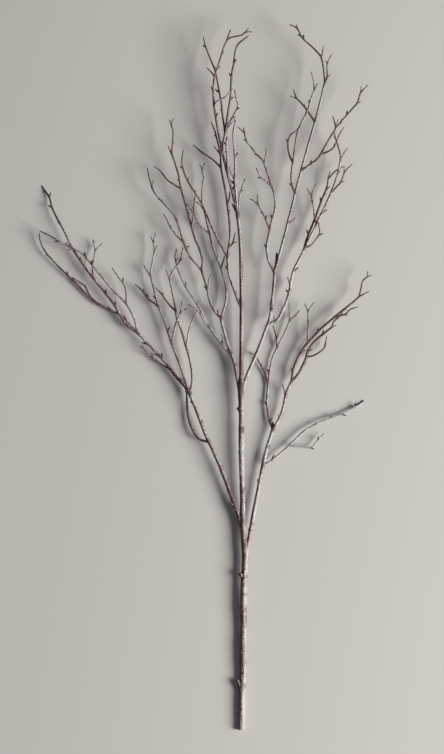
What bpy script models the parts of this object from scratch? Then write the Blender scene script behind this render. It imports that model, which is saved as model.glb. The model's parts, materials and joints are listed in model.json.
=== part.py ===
"""A bare birch branch lying on a table, as one grown piece: stem, limbs, twigs and buds.

Units are metres with +Z up. The branch points along +Y, from its cut end to its twig tips. The
origin lies on the table, under the middle of the branch. Every limb is a swept tube whose root
starts on the centreline of the limb that bears it, and one union makes a single solid of them.
It rests on three low places: the flat under the cut end and the tips of two bent-down limbs.
"""

import math
import random
from dataclasses import dataclass

import bpy
from mathutils import Vector

MM = 0.001

# Driving sizes, in millimetres.
CUT_SLANT = 0.22
ROUTE_STEP = 1.0
LINE_TOLERANCE = 0.55
RING_GAP = 60
ROOT_SINK = 1.5
TIP_BUD_LENGTH = 4.6
TIP_BUD_SWELL = 1.3
BUD_LENGTH = 4.8
BUD_RADIUS = 0.95
BUD_ANGLE = math.radians(30.0)
BUD_SPACING = (50.0, 68.0)
BUD_CLEAR_OF_FORK = 9.0
BUD_TWIG_RADIUS = 1.35
FINE_TWIG_RADIUS = 0.72
LOW_TWIG_HEIGHT = 7.0
BUD_SEED = 11

BARK_COLOUR = (0.115, 0.048, 0.052, 1.0)
BARK_ROUGHNESS = 0.42


@dataclass(frozen=True)
class Limb:
    """One stem, limb, twig or stub.

    girth holds radii evenly spread from root to end. path holds its points from the root
    outwards, as (x, y) or (x, y, height of the centreline), all in millimetres. A point with
    no height takes it from its neighbours, by length.
    """

    name: str
    parent: str
    girth: tuple
    path: tuple
    blunt: bool = False


LIMBS = (
    Limb("stem", "", (4.0, 4.15, 4.4, 4.1, 4.2, 3.2, 3.1, 3.15, 2.85, 2.6, 2.35, 2.05, 1.7), (
        (47.3, -458, 3.6), (48, -420, 3.85), (49.2, -380, 4.6), (49.6, -340, 5.5), (49.6, -303, 6.3),
        (50, -270, 7.2), (51.8, -230, 8), (49, -195, 8.8), (48.3, -150, 9.5), (47, -100, 10.5),
        (46.8, -60, 11.2), (46.5, -15, 12), (46.8, 20, 13), (47, 60, 14), (47.2, 95, 15),
        (46.2, 150, 16.5), (45.2, 180, 17.5), (43.5, 200, 18), (41.5, 217, 18.5))),
    Limb("broken_stub", "stem", (1.9, 1.5), ((48.5, -401), (45, -397), (41.6, -393, 6)), True),
    # The crown: two thin leaders that end the stem, and what forks from them.
    Limb("leader", "stem", (1.6, 1.3, 1.1, 0.9, 0.7), (
        (41.5, 217), (38.5, 230, 18.7), (31.5, 256), (28.5, 268, 20.5), (22.5, 292),
        (21, 300, 22), (15.5, 328), (11.5, 355, 25), (10.5, 370), (10.7, 382), (12, 392, 28),
        (17.5, 409), (24, 430, 31), (28, 439), (31, 448), (33, 454, 34))),
    Limb("leader_fork", "leader", (0.7, 0.55), (
        (28.5, 440), (33, 443), (40, 444.5), (47, 446), (52, 450), (57, 456, 34))),
    Limb("leader_fork_side", "leader_fork", (0.55, 0.5), ((51, 449), (57, 450.5), (62, 450, 33.5))),
    Limb("leader_spur", "leader", (0.8, 0.6), ((12.5, 393), (7, 399), (1.5, 404, 31))),
    Limb("pale_twig", "leader", (0.85, 0.6), (
        (11.7, 352), (14, 359, 27.5), (20, 362.5, 29.5), (27, 366, 31), (33, 374, 32.5),
        (36, 377, 33))),
    Limb("leader_side", "leader", (1.0, 0.7), (
        (28.5, 267), (28.3, 285, 23.5), (27.4, 302, 27), (28.1, 315, 29))),
    Limb("mid_leader", "leader", (1.15, 1.0, 0.7), (
        (21.5, 297), (23, 307), (26, 320, 23.5), (27.5, 332), (30, 349, 26), (32.5, 364),
        (33.3, 380, 28.5), (34.5, 396), (37, 410), (38.7, 424, 31), (42.5, 434), (50, 440.5),
        (57, 446, 33))),
    Limb("mid_leader_low", "mid_leader", (0.7, 0.5), ((26.5, 322), (31, 329), (36.6, 334.6, 24))),
    Limb("mid_leader_right", "mid_leader", (0.9, 0.6), (
        (27.3, 328), (32, 334), (36.6, 342), (41.5, 351.5), (42.2, 357), (39.6, 367),
        (38, 376, 27))),
    Limb("mid_leader_left", "mid_leader", (0.9, 0.6), (
        (25.8, 319), (24, 331), (22, 345, 21.8), (20.8, 358), (18.5, 371, 22), (14.5, 393, 23),
        (13, 400), (9, 410), (4, 422, 25), (0, 433), (-3, 445, 27))),
    Limb("right_leader", "stem", (1.5, 1.1, 0.7), (
        (42, 215), (41, 228), (38.3, 255, 21.5), (38.5, 270), (38.8, 285, 24), (36.3, 315, 27),
        (37, 325), (39, 332), (37.5, 338, 30))),
    Limb("right_leader_spur", "right_leader", (0.7, 0.5), (
        (38, 259), (33.5, 268, 23.5), (30, 277, 26))),
    Limb("crown_twig", "stem", (0.9, 0.6), (
        (43, 211), (43.8, 228), (45, 240), (49, 252), (52, 261, 22))),
    Limb("crown_stub", "stem", (0.8, 0.6), ((41.5, 214), (38, 221), (34.5, 228, 15.8)), True),
    # The middle limb, which leaves the stem to the left and forks in two.
    Limb("middle_limb", "stem", (1.55, 1.3), (
        (46.6, 92), (43, 101), (39, 112), (31.5, 133), (29.8, 145), (28.8, 160, 12.5))),
    Limb("middle_right", "middle_limb", (1.2, 0.9, 0.6), (
        (28.8, 160), (30.5, 170), (32, 183, 13), (31.8, 197), (30.5, 212, 13.5), (26.5, 242, 14),
        (21, 270, 15), (20, 281), (19, 294, 15.7), (12.8, 321), (7, 335, 18))),
    Limb("middle_right_a", "middle_right", (0.9, 0.6), (
        (20.6, 275), (12, 283), (5.6, 288), (-5, 295), (-16.3, 305, 15.3))),
    Limb("middle_right_b", "middle_right", (0.7, 0.5), ((19.2, 292), (10.5, 303, 17.5))),
    Limb("middle_right_c", "middle_right", (0.8, 0.5), (
        (30.8, 171), (35.5, 176), (37.5, 184), (39, 191, 14.5))),
    Limb("middle_right_c_side", "middle_right_c", (0.55, 0.5), ((35.5, 176), (41.5, 178.6, 13))),
    Limb("middle_right_d", "middle_right", (0.85, 0.6), ((28.6, 225), (31, 234), (32, 244, 15.6))),
    Limb("middle_left", "middle_limb", (1.1, 0.9, 0.6), (
        (28.8, 159), (24, 167), (18.5, 177), (12.5, 189, 15), (7.5, 199), (3, 210, 17),
        (-6, 230, 18), (-13.5, 242), (-21.8, 255, 20), (-27.6, 268), (-30.4, 282),
        (-28.5, 298, 23))),
    # The left fork of the stem, at the triple fork.
    Limb("left_fork", "stem", (2.1, 1.7), (
        (46.4, -34), (43.8, -14), (42, -4), (40.3, 6), (38.5, 17), (35.5, 27), (32.5, 35, 12.5))),
    Limb("inner_limb", "left_fork", (1.5, 1.4), (
        (32.5, 35), (30, 43), (27, 52), (24, 63), (21.5, 72), (20.8, 79, 12.5))),
    Limb("inner_stub", "inner_limb", (0.8, 0.6), ((26.8, 51), (20.5, 57, 14.5)), True),
    Limb("inner_left", "inner_limb", (1.2, 1.15), (
        (20.8, 79), (16, 83), (11, 90), (7.5, 97), (4.5, 106), (2.5, 117), (-0.5, 127),
        (-5, 141, 14))),
    Limb("inner_left_spur", "inner_left", (0.7, 0.5), (
        (2.9, 114), (4.5, 126), (5.5, 132), (8, 137, 15))),
    Limb("dark_arch", "inner_left", (1.1, 0.9, 0.6), (
        (-5, 141), (-3.6, 154), (-8.6, 171, 15), (-13.5, 182), (-20, 205, 16.5), (-26.8, 230),
        (-31.7, 247, 18.5), (-35, 265), (-40, 282, 21), (-43.4, 293), (-42.5, 307),
        (-41.7, 320, 24), (-44, 331), (-41, 339, 26))),
    Limb("dark_arch_tip", "dark_arch", (0.55, 0.5), ((-43.6, 328), (-47, 337, 27))),
    Limb("dark_arch_a", "dark_arch", (0.8, 0.5), (
        (-32, 247), (-41.7, 253), (-50, 259), (-57.5, 269), (-68, 277, 20.5))),
    Limb("dark_arch_b", "dark_arch", (0.6, 0.5), ((-42.6, 289), (-46, 297), (-49.2, 304, 22.5))),
    Limb("dark_arch_c", "dark_arch", (0.8, 0.5), (
        (-18, 197), (-15.6, 212, 19), (-14, 229, 22.5), (-12.7, 246, 25))),
    Limb("bowed_twig", "inner_left", (1.0, 0.8, 0.6), (
        (-5, 141), (-10.5, 148), (-17, 155, 15), (-25, 169), (-29.3, 181, 16), (-33.4, 194),
        (-40, 212, 17.5), (-46.7, 220), (-56.7, 231, 19), (-67.4, 244), (-72, 258),
        (-76, 275, 22))),
    Limb("bowed_twig_a", "bowed_twig", (0.6, 0.5), ((-66.8, 243), (-68.5, 251), (-67.4, 259, 23))),
    Limb("bowed_twig_b", "bowed_twig", (0.8, 0.5), (
        (-28.4, 177), (-38.4, 187), (-46.7, 199), (-50, 207), (-55, 215, 18.5))),
    Limb("bowed_twig_c", "bowed_twig", (0.55, 0.5), ((-25.6, 170), (-22, 173), (-19.5, 172.5, 17.5))),
    Limb("inner_right", "inner_limb", (1.15, 0.9, 0.6), (
        (20.8, 79), (23, 87), (26, 96), (27.5, 106, 11), (27.5, 116), (25.5, 126), (22.5, 136, 10),
        (19.8, 146), (14, 160), (9.5, 173, 9.5), (3.5, 197), (1, 208, 10), (-4, 230, 10.5),
        (-4.5, 242), (-3, 254, 12), (-1.7, 262), (-4, 270), (-1, 282, 14))),
    Limb("inner_right_tip", "inner_right", (0.55, 0.5), ((-3.8, 272), (-8, 280, 14.8))),
    Limb("dark_spur", "inner_right", (0.8, 0.6), ((20.4, 144), (23.5, 154), (25.5, 160.5, 8.6))),
    Limb("inner_right_a", "inner_right", (0.9, 0.5), (
        (5.4, 189), (-4, 196), (-9, 202, 11), (-12, 209), (-16, 217), (-25, 228, 12.5))),
    Limb("inner_right_a_stub", "inner_right_a", (0.5, 0.45), ((-8.4, 201), (-13.5, 203.5, 12)), True),
    Limb("inner_right_b", "inner_right", (0.7, 0.5), (
        (-2.4, 221), (-8.6, 228), (-14.3, 231), (-15.5, 235, 14))),
    Limb("wide_twig", "left_fork", (1.2, 0.95, 0.6), (
        (32.5, 34), (27.5, 37), (22.5, 43), (17, 50.5, 11.5), (6, 66), (1.5, 73, 10.5),
        (-3.5, 83), (-10, 96), (-15, 104, 9.5), (-26, 120), (-31, 131, 9), (-35, 141),
        (-37.7, 150, 9.5), (-39.3, 160), (-37, 170, 11))),
    Limb("wide_twig_tip", "wide_twig", (0.55, 0.5), ((-37.5, 150), (-35.5, 158.5, 11))),
    Limb("wide_twig_a", "wide_twig", (0.8, 0.5), (
        (6, 66), (0.5, 70.5, 11.6), (-3.5, 78, 13), (-7.5, 86), (-15, 92), (-23, 97, 15))),
    # The long left limb and its fan of twigs.
    Limb("left_limb", "stem", (2.5, 2.2, 1.9), (
        (48.8, -200), (45.2, -187), (42.8, -178), (36.4, -160), (31.4, -147), (21.4, -120),
        (9.2, -92), (4, -81, 10.7), (-1.4, -69), (-11.4, -42), (-21, -18, 12))),
    Limb("crossing_twig", "left_limb", (1.2, 1.0, 0.7), (
        (3.6, -83), (-3, -81), (-10.5, -77, 8.5), (-17, -66), (-21, -55, 6), (-23.3, -43),
        (-24, -30, 5), (-24.5, -17), (-28, -10), (-37.5, 0.5, 5.5), (-46.5, 12), (-60, 20, 6),
        (-72, 30, 6.5))),
    Limb("left_arm", "left_limb", (1.5, 1.3), (
        (-21, -18), (-26, -10), (-32, -2), (-39, 6.5), (-55, 24), (-69, 39), (-84, 55),
        (-89, 60, 9.5))),
    Limb("left_arm_spur", "left_arm", (0.7, 0.5), (
        (-60.5, 30), (-67, 31), (-73.5, 33.5), (-79, 38), (-85, 42.5, 12))),
    Limb("pale_far_twig", "left_arm", (1.2, 0.9, 0.6), (
        (-89, 60), (-89.7, 67), (-92, 77, 10.5), (-96, 86), (-104, 98.5, 12), (-118, 113),
        (-127, 123, 13.5), (-146, 146, 15), (-158.5, 161), (-168, 167, 16), (-190, 178),
        (-200, 184.5), (-216.5, 192.5, 17))),
    Limb("pale_far_side", "pale_far_twig", (0.55, 0.5), ((-175, 170.6), (-183, 178, 18))),
    Limb("pale_far_low", "pale_far_twig", (0.55, 0.5), ((-171, 168.6), (-180, 168, 18.5))),
    Limb("pale_far_a", "pale_far_twig", (0.8, 0.5), (
        (-103.5, 98), (-103, 107), (-104, 116), (-107, 124), (-112, 130), (-122, 145, 14.5))),
    Limb("propping_twig", "left_arm", (1.2, 0.95, 0.7), (
        (-89, 60), (-97, 65), (-105, 73), (-113.5, 87, 10.5), (-118, 95), (-124.5, 104, 11),
        (-140, 123), (-147, 132, 10.5), (-155, 142), (-169, 163, 10.5), (-175, 172.5),
        (-184, 192), (-189.5, 202, 9), (-195.5, 213, 7.5), (-200, 223, 6), (-202, 231),
        (-204.5, 238, 3.2), (-210, 246, 0.95), (-213.5, 252, 0.2))),
    Limb("propping_side", "propping_twig", (0.85, 0.5), (
        (-145.5, 130), (-147, 142, 9), (-146, 153, 8), (-143.7, 167, 6.5), (-145, 175),
        (-147, 182, 6))),
    Limb("propping_side_fork", "propping_side", (0.55, 0.5), ((-144, 166), (-139, 172), (-134, 177, 6))),
    Limb("low_far_twig", "left_arm", (1.1, 0.9, 0.6), (
        (-89, 60), (-98, 70), (-106, 79, 7.5), (-113, 84.5, 6.2), (-120, 87), (-128, 91, 5.5),
        (-136, 95.5), (-150, 105, 5), (-171, 126.5, 5), (-190, 144.5), (-199, 154, 6),
        (-207, 163), (-212.5, 172), (-215.5, 181), (-217, 190, 8))),
    Limb("low_far_a", "low_far_twig", (0.8, 0.5), (
        (-143, 99.6), (-150, 107), (-154.5, 115), (-159, 122), (-174, 132, 7))),
    Limb("left_middle", "left_limb", (1.35, 1.0, 0.6), (
        (-21, -18), (-24, -9), (-27.5, 0, 13), (-31, 12), (-40.5, 37, 12), (-49, 61),
        (-53, 74, 10.5), (-62, 97, 10), (-68, 121), (-71, 134, 10.5), (-70.3, 144), (-66.3, 167),
        (-67.3, 176), (-65, 191, 13))),
    Limb("left_middle_tip", "left_middle", (0.55, 0.5), ((-67.5, 177), (-72, 186, 13))),
    Limb("left_middle_side", "left_middle", (0.55, 0.5), ((-66.6, 164), (-63, 174, 13))),
    Limb("left_middle_a", "left_middle", (0.7, 0.5), ((-70.8, 133), (-76, 140), (-81, 149, 11.5))),
    Limb("left_middle_b", "left_middle", (0.8, 0.5), (
        (-60.6, 93), (-68, 99), (-74, 103.5), (-79, 110), (-84, 116), (-93, 124, 9))),
    Limb("left_middle_c", "left_middle", (0.9, 0.5), (
        (-43.7, 46), (-41.5, 56), (-39.5, 67, 14.5), (-36, 77, 16.6), (-32.5, 86), (-31, 93),
        (-31, 101, 19.5))),
    Limb("left_middle_c_side", "left_middle_c", (0.55, 0.5), ((-33, 85), (-28, 88.5), (-23, 92, 18.8))),
    Limb("left_inner", "left_limb", (1.35, 1.0, 0.6), (
        (-20.8, -18), (-18, -10), (-17, 0), (-17.5, 10), (-19.5, 21), (-22.5, 33, 11.5),
        (-33, 68, 12), (-37, 79), (-39, 91, 12.5), (-41.5, 105), (-46, 129, 13.5), (-44, 136),
        (-40, 143.5, 14), (-34, 152, 14.5), (-31, 160), (-29, 172, 13.8))),
    Limb("left_inner_tip", "left_inner", (0.55, 0.5), ((-34.6, 151.4), (-29, 157, 16.5))),
    Limb("left_inner_side", "left_inner", (0.6, 0.5), ((-45.6, 127), (-49, 136), (-52, 143, 15.5))),
    Limb("left_inner_a", "left_inner", (0.9, 0.5), (
        (-39, 88), (-46, 95), (-52, 102.5), (-57.5, 110.5), (-66, 119, 15.8))),
    Limb("left_inner_b", "left_inner", (0.9, 0.5), (
        (-24.8, 41), (-23, 52), (-21.5, 61), (-18.5, 71), (-14, 81.5, 16.5), (-11, 89, 18.5))),
    Limb("left_inner_b_side", "left_inner_b", (0.5, 0.45), ((-14.8, 80), (-16, 90, 18.8))),
    # The low right limb and its forks.
    Limb("right_limb", "stem", (2.7, 2.4, 2.2, 1.9), (
        (51.4, -237), (54.5, -221), (57, -208), (62, -181), (68, -150), (74, -119), (79.5, -94),
        (86, -73), (88.5, -66, 8))),
    Limb("propping_arm", "right_limb", (1.3, 1.0, 0.7), (
        (74.6, -116), (79, -111.5), (86, -107.5), (93, -102), (110, -87, 7.5), (126, -71.5, 7),
        (134, -65.5), (152, -56, 6), (172, -49), (181, -45.5, 4), (190, -39.5), (199.6, -35.4, 1.9),
        (204, -31.4, 0.85), (207, -28, 0.2))),
    Limb("propping_arm_tip", "propping_arm", (0.55, 0.5), ((191.5, -38.8), (197, -30.5, 5))),
    Limb("propping_arm_side", "propping_arm", (0.8, 0.5), (
        (109.5, -87.4), (120, -88.5), (130, -90), (139, -89.5, 6.3), (145, -83), (155, -71, 6))),
    Limb("low_right", "right_limb", (1.15, 0.9, 0.6), (
        (88.3, -67), (85, -58), (82.5, -48, 5), (80.7, -36), (80.8, -22, 3.4), (83, 3, 3.4),
        (84.5, 13), (87, 25, 4), (90.5, 34), (98.5, 49.5, 5), (106.5, 66, 6.5), (110.5, 76, 7),
        (117, 81.5), (123, 89.5, 8))),
    Limb("low_right_tip", "low_right", (0.6, 0.5), ((110, 74.6), (109.7, 89), (108.6, 100, 8.5))),
    Limb("low_right_a", "low_right", (0.8, 0.5), (
        (81.6, -10), (79, 3), (75, 12), (70, 21.5), (65, 30.5), (57, 34, 5))),
    Limb("low_right_b", "low_right", (0.7, 0.5), ((93.4, 39.6), (92.5, 54), (90, 63), (88, 70, 8))),
    Limb("right_arm", "right_limb", (1.75, 1.4), (
        (88.5, -66), (93, -58.5), (97, -51), (100.5, -42), (105.5, -20), (109, -11),
        (112.5, -3.5, 9))),
    Limb("right_arm_stub", "right_arm", (0.8, 0.6), ((104.6, -24), (103, -15), (100, -7, 11))),
    Limb("right_outer", "right_arm", (1.2, 0.95, 0.6), (
        (112.5, -3.5), (113.5, 5), (115.5, 14), (120, 25), (126, 36, 11), (133, 46), (150, 64, 13),
        (166, 78), (178, 88, 15), (193, 100), (200, 107, 17), (202.8, 117.5), (205.3, 127.5),
        (212.5, 133), (217, 135, 20))),
    Limb("right_outer_tip", "right_outer", (0.55, 0.5), ((210.6, 131.8), (211.5, 141, 21.5))),
    Limb("right_outer_side", "right_outer", (0.6, 0.5), ((199.5, 106.4), (206.5, 110), (214, 114, 19.5))),
    Limb("right_upright", "right_outer", (0.9, 0.5), (
        (133.4, 46.4), (133.7, 60, 13.4), (134.5, 72), (134, 82), (135, 89, 15.5), (142, 100, 16.5))),
    Limb("right_upright_fork", "right_upright", (0.55, 0.5), ((134.7, 87), (129, 98, 17))),
    Limb("right_outer_a", "right_outer", (0.8, 0.5), (
        (167, 79), (178, 82.5, 15.8), (183, 84), (189, 90, 17.5), (199.7, 93.5, 19))),
    Limb("right_outer_a_side", "right_outer_a", (0.5, 0.45), ((179, 82.8), (186.6, 82, 16.5))),
    Limb("right_inner", "right_arm", (1.1, 0.9, 0.6), (
        (112.5, -3.5), (118, 2), (123, 9), (127.5, 18), (131.5, 27, 8.5), (134, 36), (139, 44.5),
        (146, 52), (154, 58, 9), (160, 63), (165.5, 67.7, 10), (167.4, 74), (175.4, 81.4, 10.5),
        (180.4, 90, 11))),
    Limb("right_inner_side", "right_inner", (0.5, 0.45), ((164.6, 66.8), (171.5, 69.6, 10.8))),
    Limb("right_inner_a", "right_inner", (0.8, 0.5), (
        (132, 28), (141, 30), (149, 34.5), (156, 41), (157, 48), (158.5, 56, 6.8))),
    # The tall right limb, the third of the triple fork, up to the top right of the crown.
    Limb("tall_limb", "stem", (2.3, 1.9, 1.45, 1.25, 1.0), (
        (47, -35), (49.5, -13), (52, -3), (56, 8, 13), (60.5, 18), (70, 40.5, 14.5), (78.5, 63),
        (82, 72, 16), (85, 84), (88.3, 112), (90.5, 140, 18.5), (94, 152), (100.5, 176, 19.5),
        (111, 217, 21), (122, 260, 22.5), (132, 297, 24), (143, 335, 26), (150, 362),
        (153, 375, 29), (155.5, 385, 30))),
    Limb("tall_stub", "tall_limb", (1.35, 1.2), ((91.6, 145), (92.6, 154), (93.2, 163.5, 16.6)), True),
    Limb("tall_spur", "tall_limb", (0.7, 0.5), ((107.2, 201.5), (112.5, 205), (118, 210, 22))),
    Limb("top_left", "tall_limb", (0.95, 0.6), (
        (155.5, 385), (154.5, 396), (153, 407), (150.3, 418), (145, 424.5), (137, 432.5),
        (126.5, 442), (119, 455), (109, 460, 34))),
    Limb("top_left_tip", "top_left", (0.55, 0.5), ((120.4, 452.4), (118, 461, 34.6))),
    Limb("top_left_side", "top_left", (0.55, 0.5), ((150.6, 417), (152.5, 424), (153, 433, 35))),
    Limb("top_right", "tall_limb", (0.85, 0.6), (
        (155.5, 385), (158.5, 391), (158.5, 403), (159, 409.5), (164, 421.5, 34))),
    Limb("top_right_tip", "top_right", (0.5, 0.45), ((158.8, 407.6), (156, 414.5, 33.6))),
    Limb("top_right_side", "top_right", (0.5, 0.45), ((158.3, 389.6), (163.5, 396.5, 33))),
    Limb("dark_cross", "tall_limb", (0.9, 0.5), (
        (142.8, 333), (137.5, 341), (131.5, 350, 25), (125, 358), (119, 364.5, 26), (116.5, 370),
        (114, 377, 28))),
    Limb("dark_cross_side", "dark_cross", (0.5, 0.45), ((119.6, 364), (109, 368, 28))),
    Limb("far_right", "tall_limb", (1.2, 0.9, 0.6), (
        (125.2, 271), (132, 275), (141, 281.4, 24.5), (147, 287), (151.4, 293.6, 26), (161.8, 312.4, 28),
        (171.8, 327.4, 29.5), (191.6, 351, 31.5), (198, 359), (202, 371), (212, 382, 34))),
    Limb("far_right_tip", "far_right", (0.5, 0.45), ((201.5, 370), (202.5, 380.5, 34.6))),
    Limb("far_right_side", "far_right", (0.5, 0.45), ((196, 358), (203, 360, 33.4))),
    Limb("far_right_arc", "far_right", (0.8, 0.5), (
        (150, 293), (157, 294), (163, 297), (168.5, 303), (175, 318.5), (181, 327.5, 28.5))),
    Limb("top_middle", "tall_limb", (1.1, 0.85, 0.6), (
        (116.9, 241), (113.5, 250), (112, 260, 24), (112.5, 271), (116, 296), (119.5, 319, 27),
        (124, 330), (133, 349, 30), (139, 368), (146, 384, 33))),
    Limb("top_middle_tip", "top_middle", (0.6, 0.5), ((142, 374), (140.5, 388), (137, 399, 34.2))),
    Limb("top_middle_loop", "top_middle", (0.8, 0.5), (
        (113.8, 281), (109.5, 290, 23), (107.5, 300), (108, 310, 22.5), (111, 317), (117, 321.5),
        (122, 327, 22.5))),
    Limb("top_inner", "tall_limb", (1.2, 0.9, 0.6), (
        (90.3, 138), (86.5, 144.5), (82.5, 153), (80.3, 163, 19), (80.3, 175), (84.5, 197, 20),
        (90, 218), (91, 230, 21), (89.5, 241), (86, 251, 22), (78.5, 274), (75.5, 283, 24),
        (68, 290.5), (61, 299, 26), (53.5, 309), (51, 320), (49.5, 327, 28))),
    Limb("top_inner_up", "top_inner", (0.6, 0.5), ((76.2, 281), (79, 292), (79, 300, 27))),
    Limb("top_inner_tip", "top_inner", (0.5, 0.45), ((51.2, 319), (41.5, 328, 25.5))),
    Limb("top_inner_side", "top_inner", (0.5, 0.45), ((54.4, 307.6), (49, 312, 24))),
    Limb("top_inner_a", "top_inner", (0.9, 0.5), ((83.8, 194), (77, 211), (68.5, 228), (68, 240, 23))),
    Limb("top_inner_a_side", "top_inner_a", (0.55, 0.5), ((69.4, 226), (62.5, 231.5), (57, 234, 23.5))),
    Limb("top_inner_b", "top_inner", (0.85, 0.5), (
        (86.6, 249), (80, 256), (72.5, 262), (69, 268), (65.5, 275, 24.5))),
    Limb("right_sweep", "tall_limb", (1.6, 1.45, 1.2, 0.9, 0.6), (
        (81.4, 70), (86, 72.5), (92, 75, 15.5), (97, 81), (104.5, 97, 15), (110, 114, 14.5),
        (111.5, 126), (114.5, 139), (119, 149), (129.5, 169.5, 14), (140, 191), (152, 216, 15),
        (164.5, 243.5, 17), (172, 265), (176, 286, 19.5), (174.5, 297, 21), (168.3, 318, 22),
        (169.5, 328), (165.5, 342, 24))),
    Limb("right_sweep_tip", "right_sweep", (0.5, 0.45), ((169.3, 326), (173, 338, 24.5))),
    Limb("right_sweep_side", "right_sweep", (0.6, 0.5), ((175.8, 283), (181, 294), (186, 300.5, 21))),
    Limb("right_sweep_stub", "right_sweep", (0.7, 0.5), ((90.6, 74.2), (89, 81.5, 18.5))),
    Limb("right_sweep_a", "right_sweep", (1.1, 0.9, 0.5), (
        (128.8, 168), (131.5, 180, 13), (136, 192, 12), (141, 204), (151, 231, 11.8), (156, 243),
        (158.5, 250, 12.5), (160.5, 262), (163, 271, 15))),
    Limb("right_sweep_a_side", "right_sweep_a", (0.5, 0.45), ((156.8, 245), (163, 251, 13.6))),
    Limb("right_sweep_a_arc", "right_sweep_a", (0.6, 0.45), (
        (160.2, 260), (168, 269, 13.6), (175, 273.5), (181.5, 277, 15))),
    Limb("right_sweep_b", "right_sweep", (0.85, 0.5), (
        (163.8, 242), (171, 249.5), (176, 255), (179, 262), (182, 269.5), (192, 280, 20))),
    Limb("right_sweep_b_tip", "right_sweep_b", (0.5, 0.45), ((181.2, 267.6), (180.6, 277, 20.6))),
    Limb("right_sweep_b_side", "right_sweep_b", (0.5, 0.45), ((175, 254), (182, 257.5, 19.2))),
    Limb("right_sweep_c", "right_sweep", (0.8, 0.5), (
        (129.4, 169.4), (138, 174), (144.5, 181.5, 16), (149, 190, 17.5), (148, 199, 18.8),
        (145, 212, 20.5))),
    Limb("right_sweep_d", "right_sweep", (0.8, 0.5), (
        (145.2, 201.6), (142, 211), (141.5, 222), (139.5, 232), (139, 240), (144, 254.5, 20))),
    Limb("right_sweep_d_side", "right_sweep_d", (0.5, 0.45), ((139.2, 238), (131.5, 248, 20.4))),
    Limb("right_sweep_e", "right_sweep", (0.7, 0.5), (
        (107.6, 106), (108.5, 113, 11), (110, 123, 9), (106.5, 133, 7.5))),
)

# The tips of the buds and knobs that show best, as (x, y) on the named limb, in millimetres.
SEEN_BUDS = {
    "stem": ((43.4, -300), (43.2, -252), (42.8, -95), (42.6, -36), (52.6, -141), (51.2, -62)),
    "leader": ((17.6, 345), (7.6, 378), (33.8, 248), (20.6, 404)),
    "leader_side": ((25, 307),),
    "mid_leader": ((41, 414), (31, 397), (35.8, 366)),
    "mid_leader_right": ((39.4, 341), (43.8, 353)),
    "mid_leader_left": ((14, 375), (-3, 433)),
    "right_leader": ((35.2, 256), (41.6, 293)),
    "crown_twig": ((49.4, 246),),
    "middle_limb": ((41.6, 117), (28, 146)),
    "middle_left": ((-31.8, 276),),
    "left_fork": ((42.6, 20),),
    "inner_left": ((15.8, 87.6), (-0.6, 119)),
    "wide_twig": ((-25.4, 124), (20.6, 47)),
    "left_limb": ((24.8, -113), (17.6, -126), (31, -164), (34.6, -173), (-2.4, -53), (-23, -32)),
    "left_arm": ((-28.6, 3), (-57, 30), (-79.6, 45)),
    "pale_far_twig": ((-155.6, 164), (-149, 151.6), (-196.6, 178)),
    "pale_far_a": ((-106.4, 131),),
    "propping_twig": ((-115.4, 101), (-129.8, 115), (-206, 225.4), (-202.4, 241)),
    "low_far_twig": ((-116, 88.6), (-125.4, 92.8), (-181, 138.6)),
    "left_middle": ((-46.6, 66), (-66.8, 108)),
    "left_middle_b": ((-76, 108.4), (-80.4, 118)),
    "left_inner_a": ((-54.8, 113),),
    "right_limb": ((67.4, -131), (65.2, -188), (85.8, -88), (56.4, -196)),
    "propping_arm": ((87.6, -101), (165, -47.6), (183.6, -49)),
    "propping_arm_side": ((142.6, -92), (147, -75.8)),
    "low_right": ((78, -31), (86.4, -53), (81.4, 11)),
    "low_right_b": ((95, 56),),
    "low_right_a": ((64.6, 37),),
    "right_arm": ((95.4, -47), (102.6, -44), (86.6, -60)),
    "right_outer": ((112.4, 13), (129, 35), (146.8, 65.6)),
    "right_inner": ((154.4, 61.6), (137.6, 37)),
    "right_inner_a": ((156, 43.6),),
    "tall_limb": ((83.4, 100), (94.4, 138), (86.6, 92)),
    "far_right": ((138, 283), (182, 349)),
    "top_left": ((121, 446), (127, 445)),
    "top_middle": ((109.8, 253), (133, 362)),
    "top_middle_loop": ((105.4, 312),),
    "top_inner": ((77.8, 174), (84.4, 212)),
    "top_inner_a": ((79, 212),),
    "top_inner_b": ((67.4, 262),),
    "right_sweep": ((117.6, 143), (155.6, 219), (113.2, 118)),
    "right_sweep_a": ((148.6, 235), (133, 192)),
    "right_sweep_c": ((151.6, 190),),
    "right_sweep_e": ((105.6, 116), (110.8, 125)),
}


@dataclass
class Station:
    """A place along a limb: its centre and radius in millimetres, and its direction."""

    centre: Vector
    radius: float
    along: Vector


def clear_scene():
    """Removes every object, so that the script can run again in an open file."""
    for thing in list(bpy.data.objects):
        bpy.data.objects.remove(thing, do_unlink=True)


def clamp(value, low, high):
    """The value, kept between low and high."""
    return max(low, min(high, value))


def spread(values, share):
    """Reads evenly spread values at a share of the whole length, from 0 to 1."""
    place = clamp(share, 0.0, 1.0) * (len(values) - 1)
    index = min(int(place), len(values) - 2)
    return values[index] + (values[index + 1] - values[index]) * (place - index)


def with_heights(path, root_height):
    """Gives every point of a path a height, by length between the points that state one."""
    points = [Vector((p[0], p[1], p[2] if len(p) > 2 else 0.0)) for p in path]
    stated = [i for i, p in enumerate(path) if len(p) > 2]
    if root_height is not None:
        points[0].z = root_height
        stated = [0] + [i for i in stated if i > 0]
    runs = [0.0]
    for before, here in zip(points, points[1:]):
        runs.append(runs[-1] + (here.xy - before.xy).length)
    for low, high in zip(stated, stated[1:]):
        for i in range(low + 1, high):
            share = (runs[i] - runs[low]) / (runs[high] - runs[low])
            points[i].z = points[low].z + (points[high].z - points[low].z) * share
    return points


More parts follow.
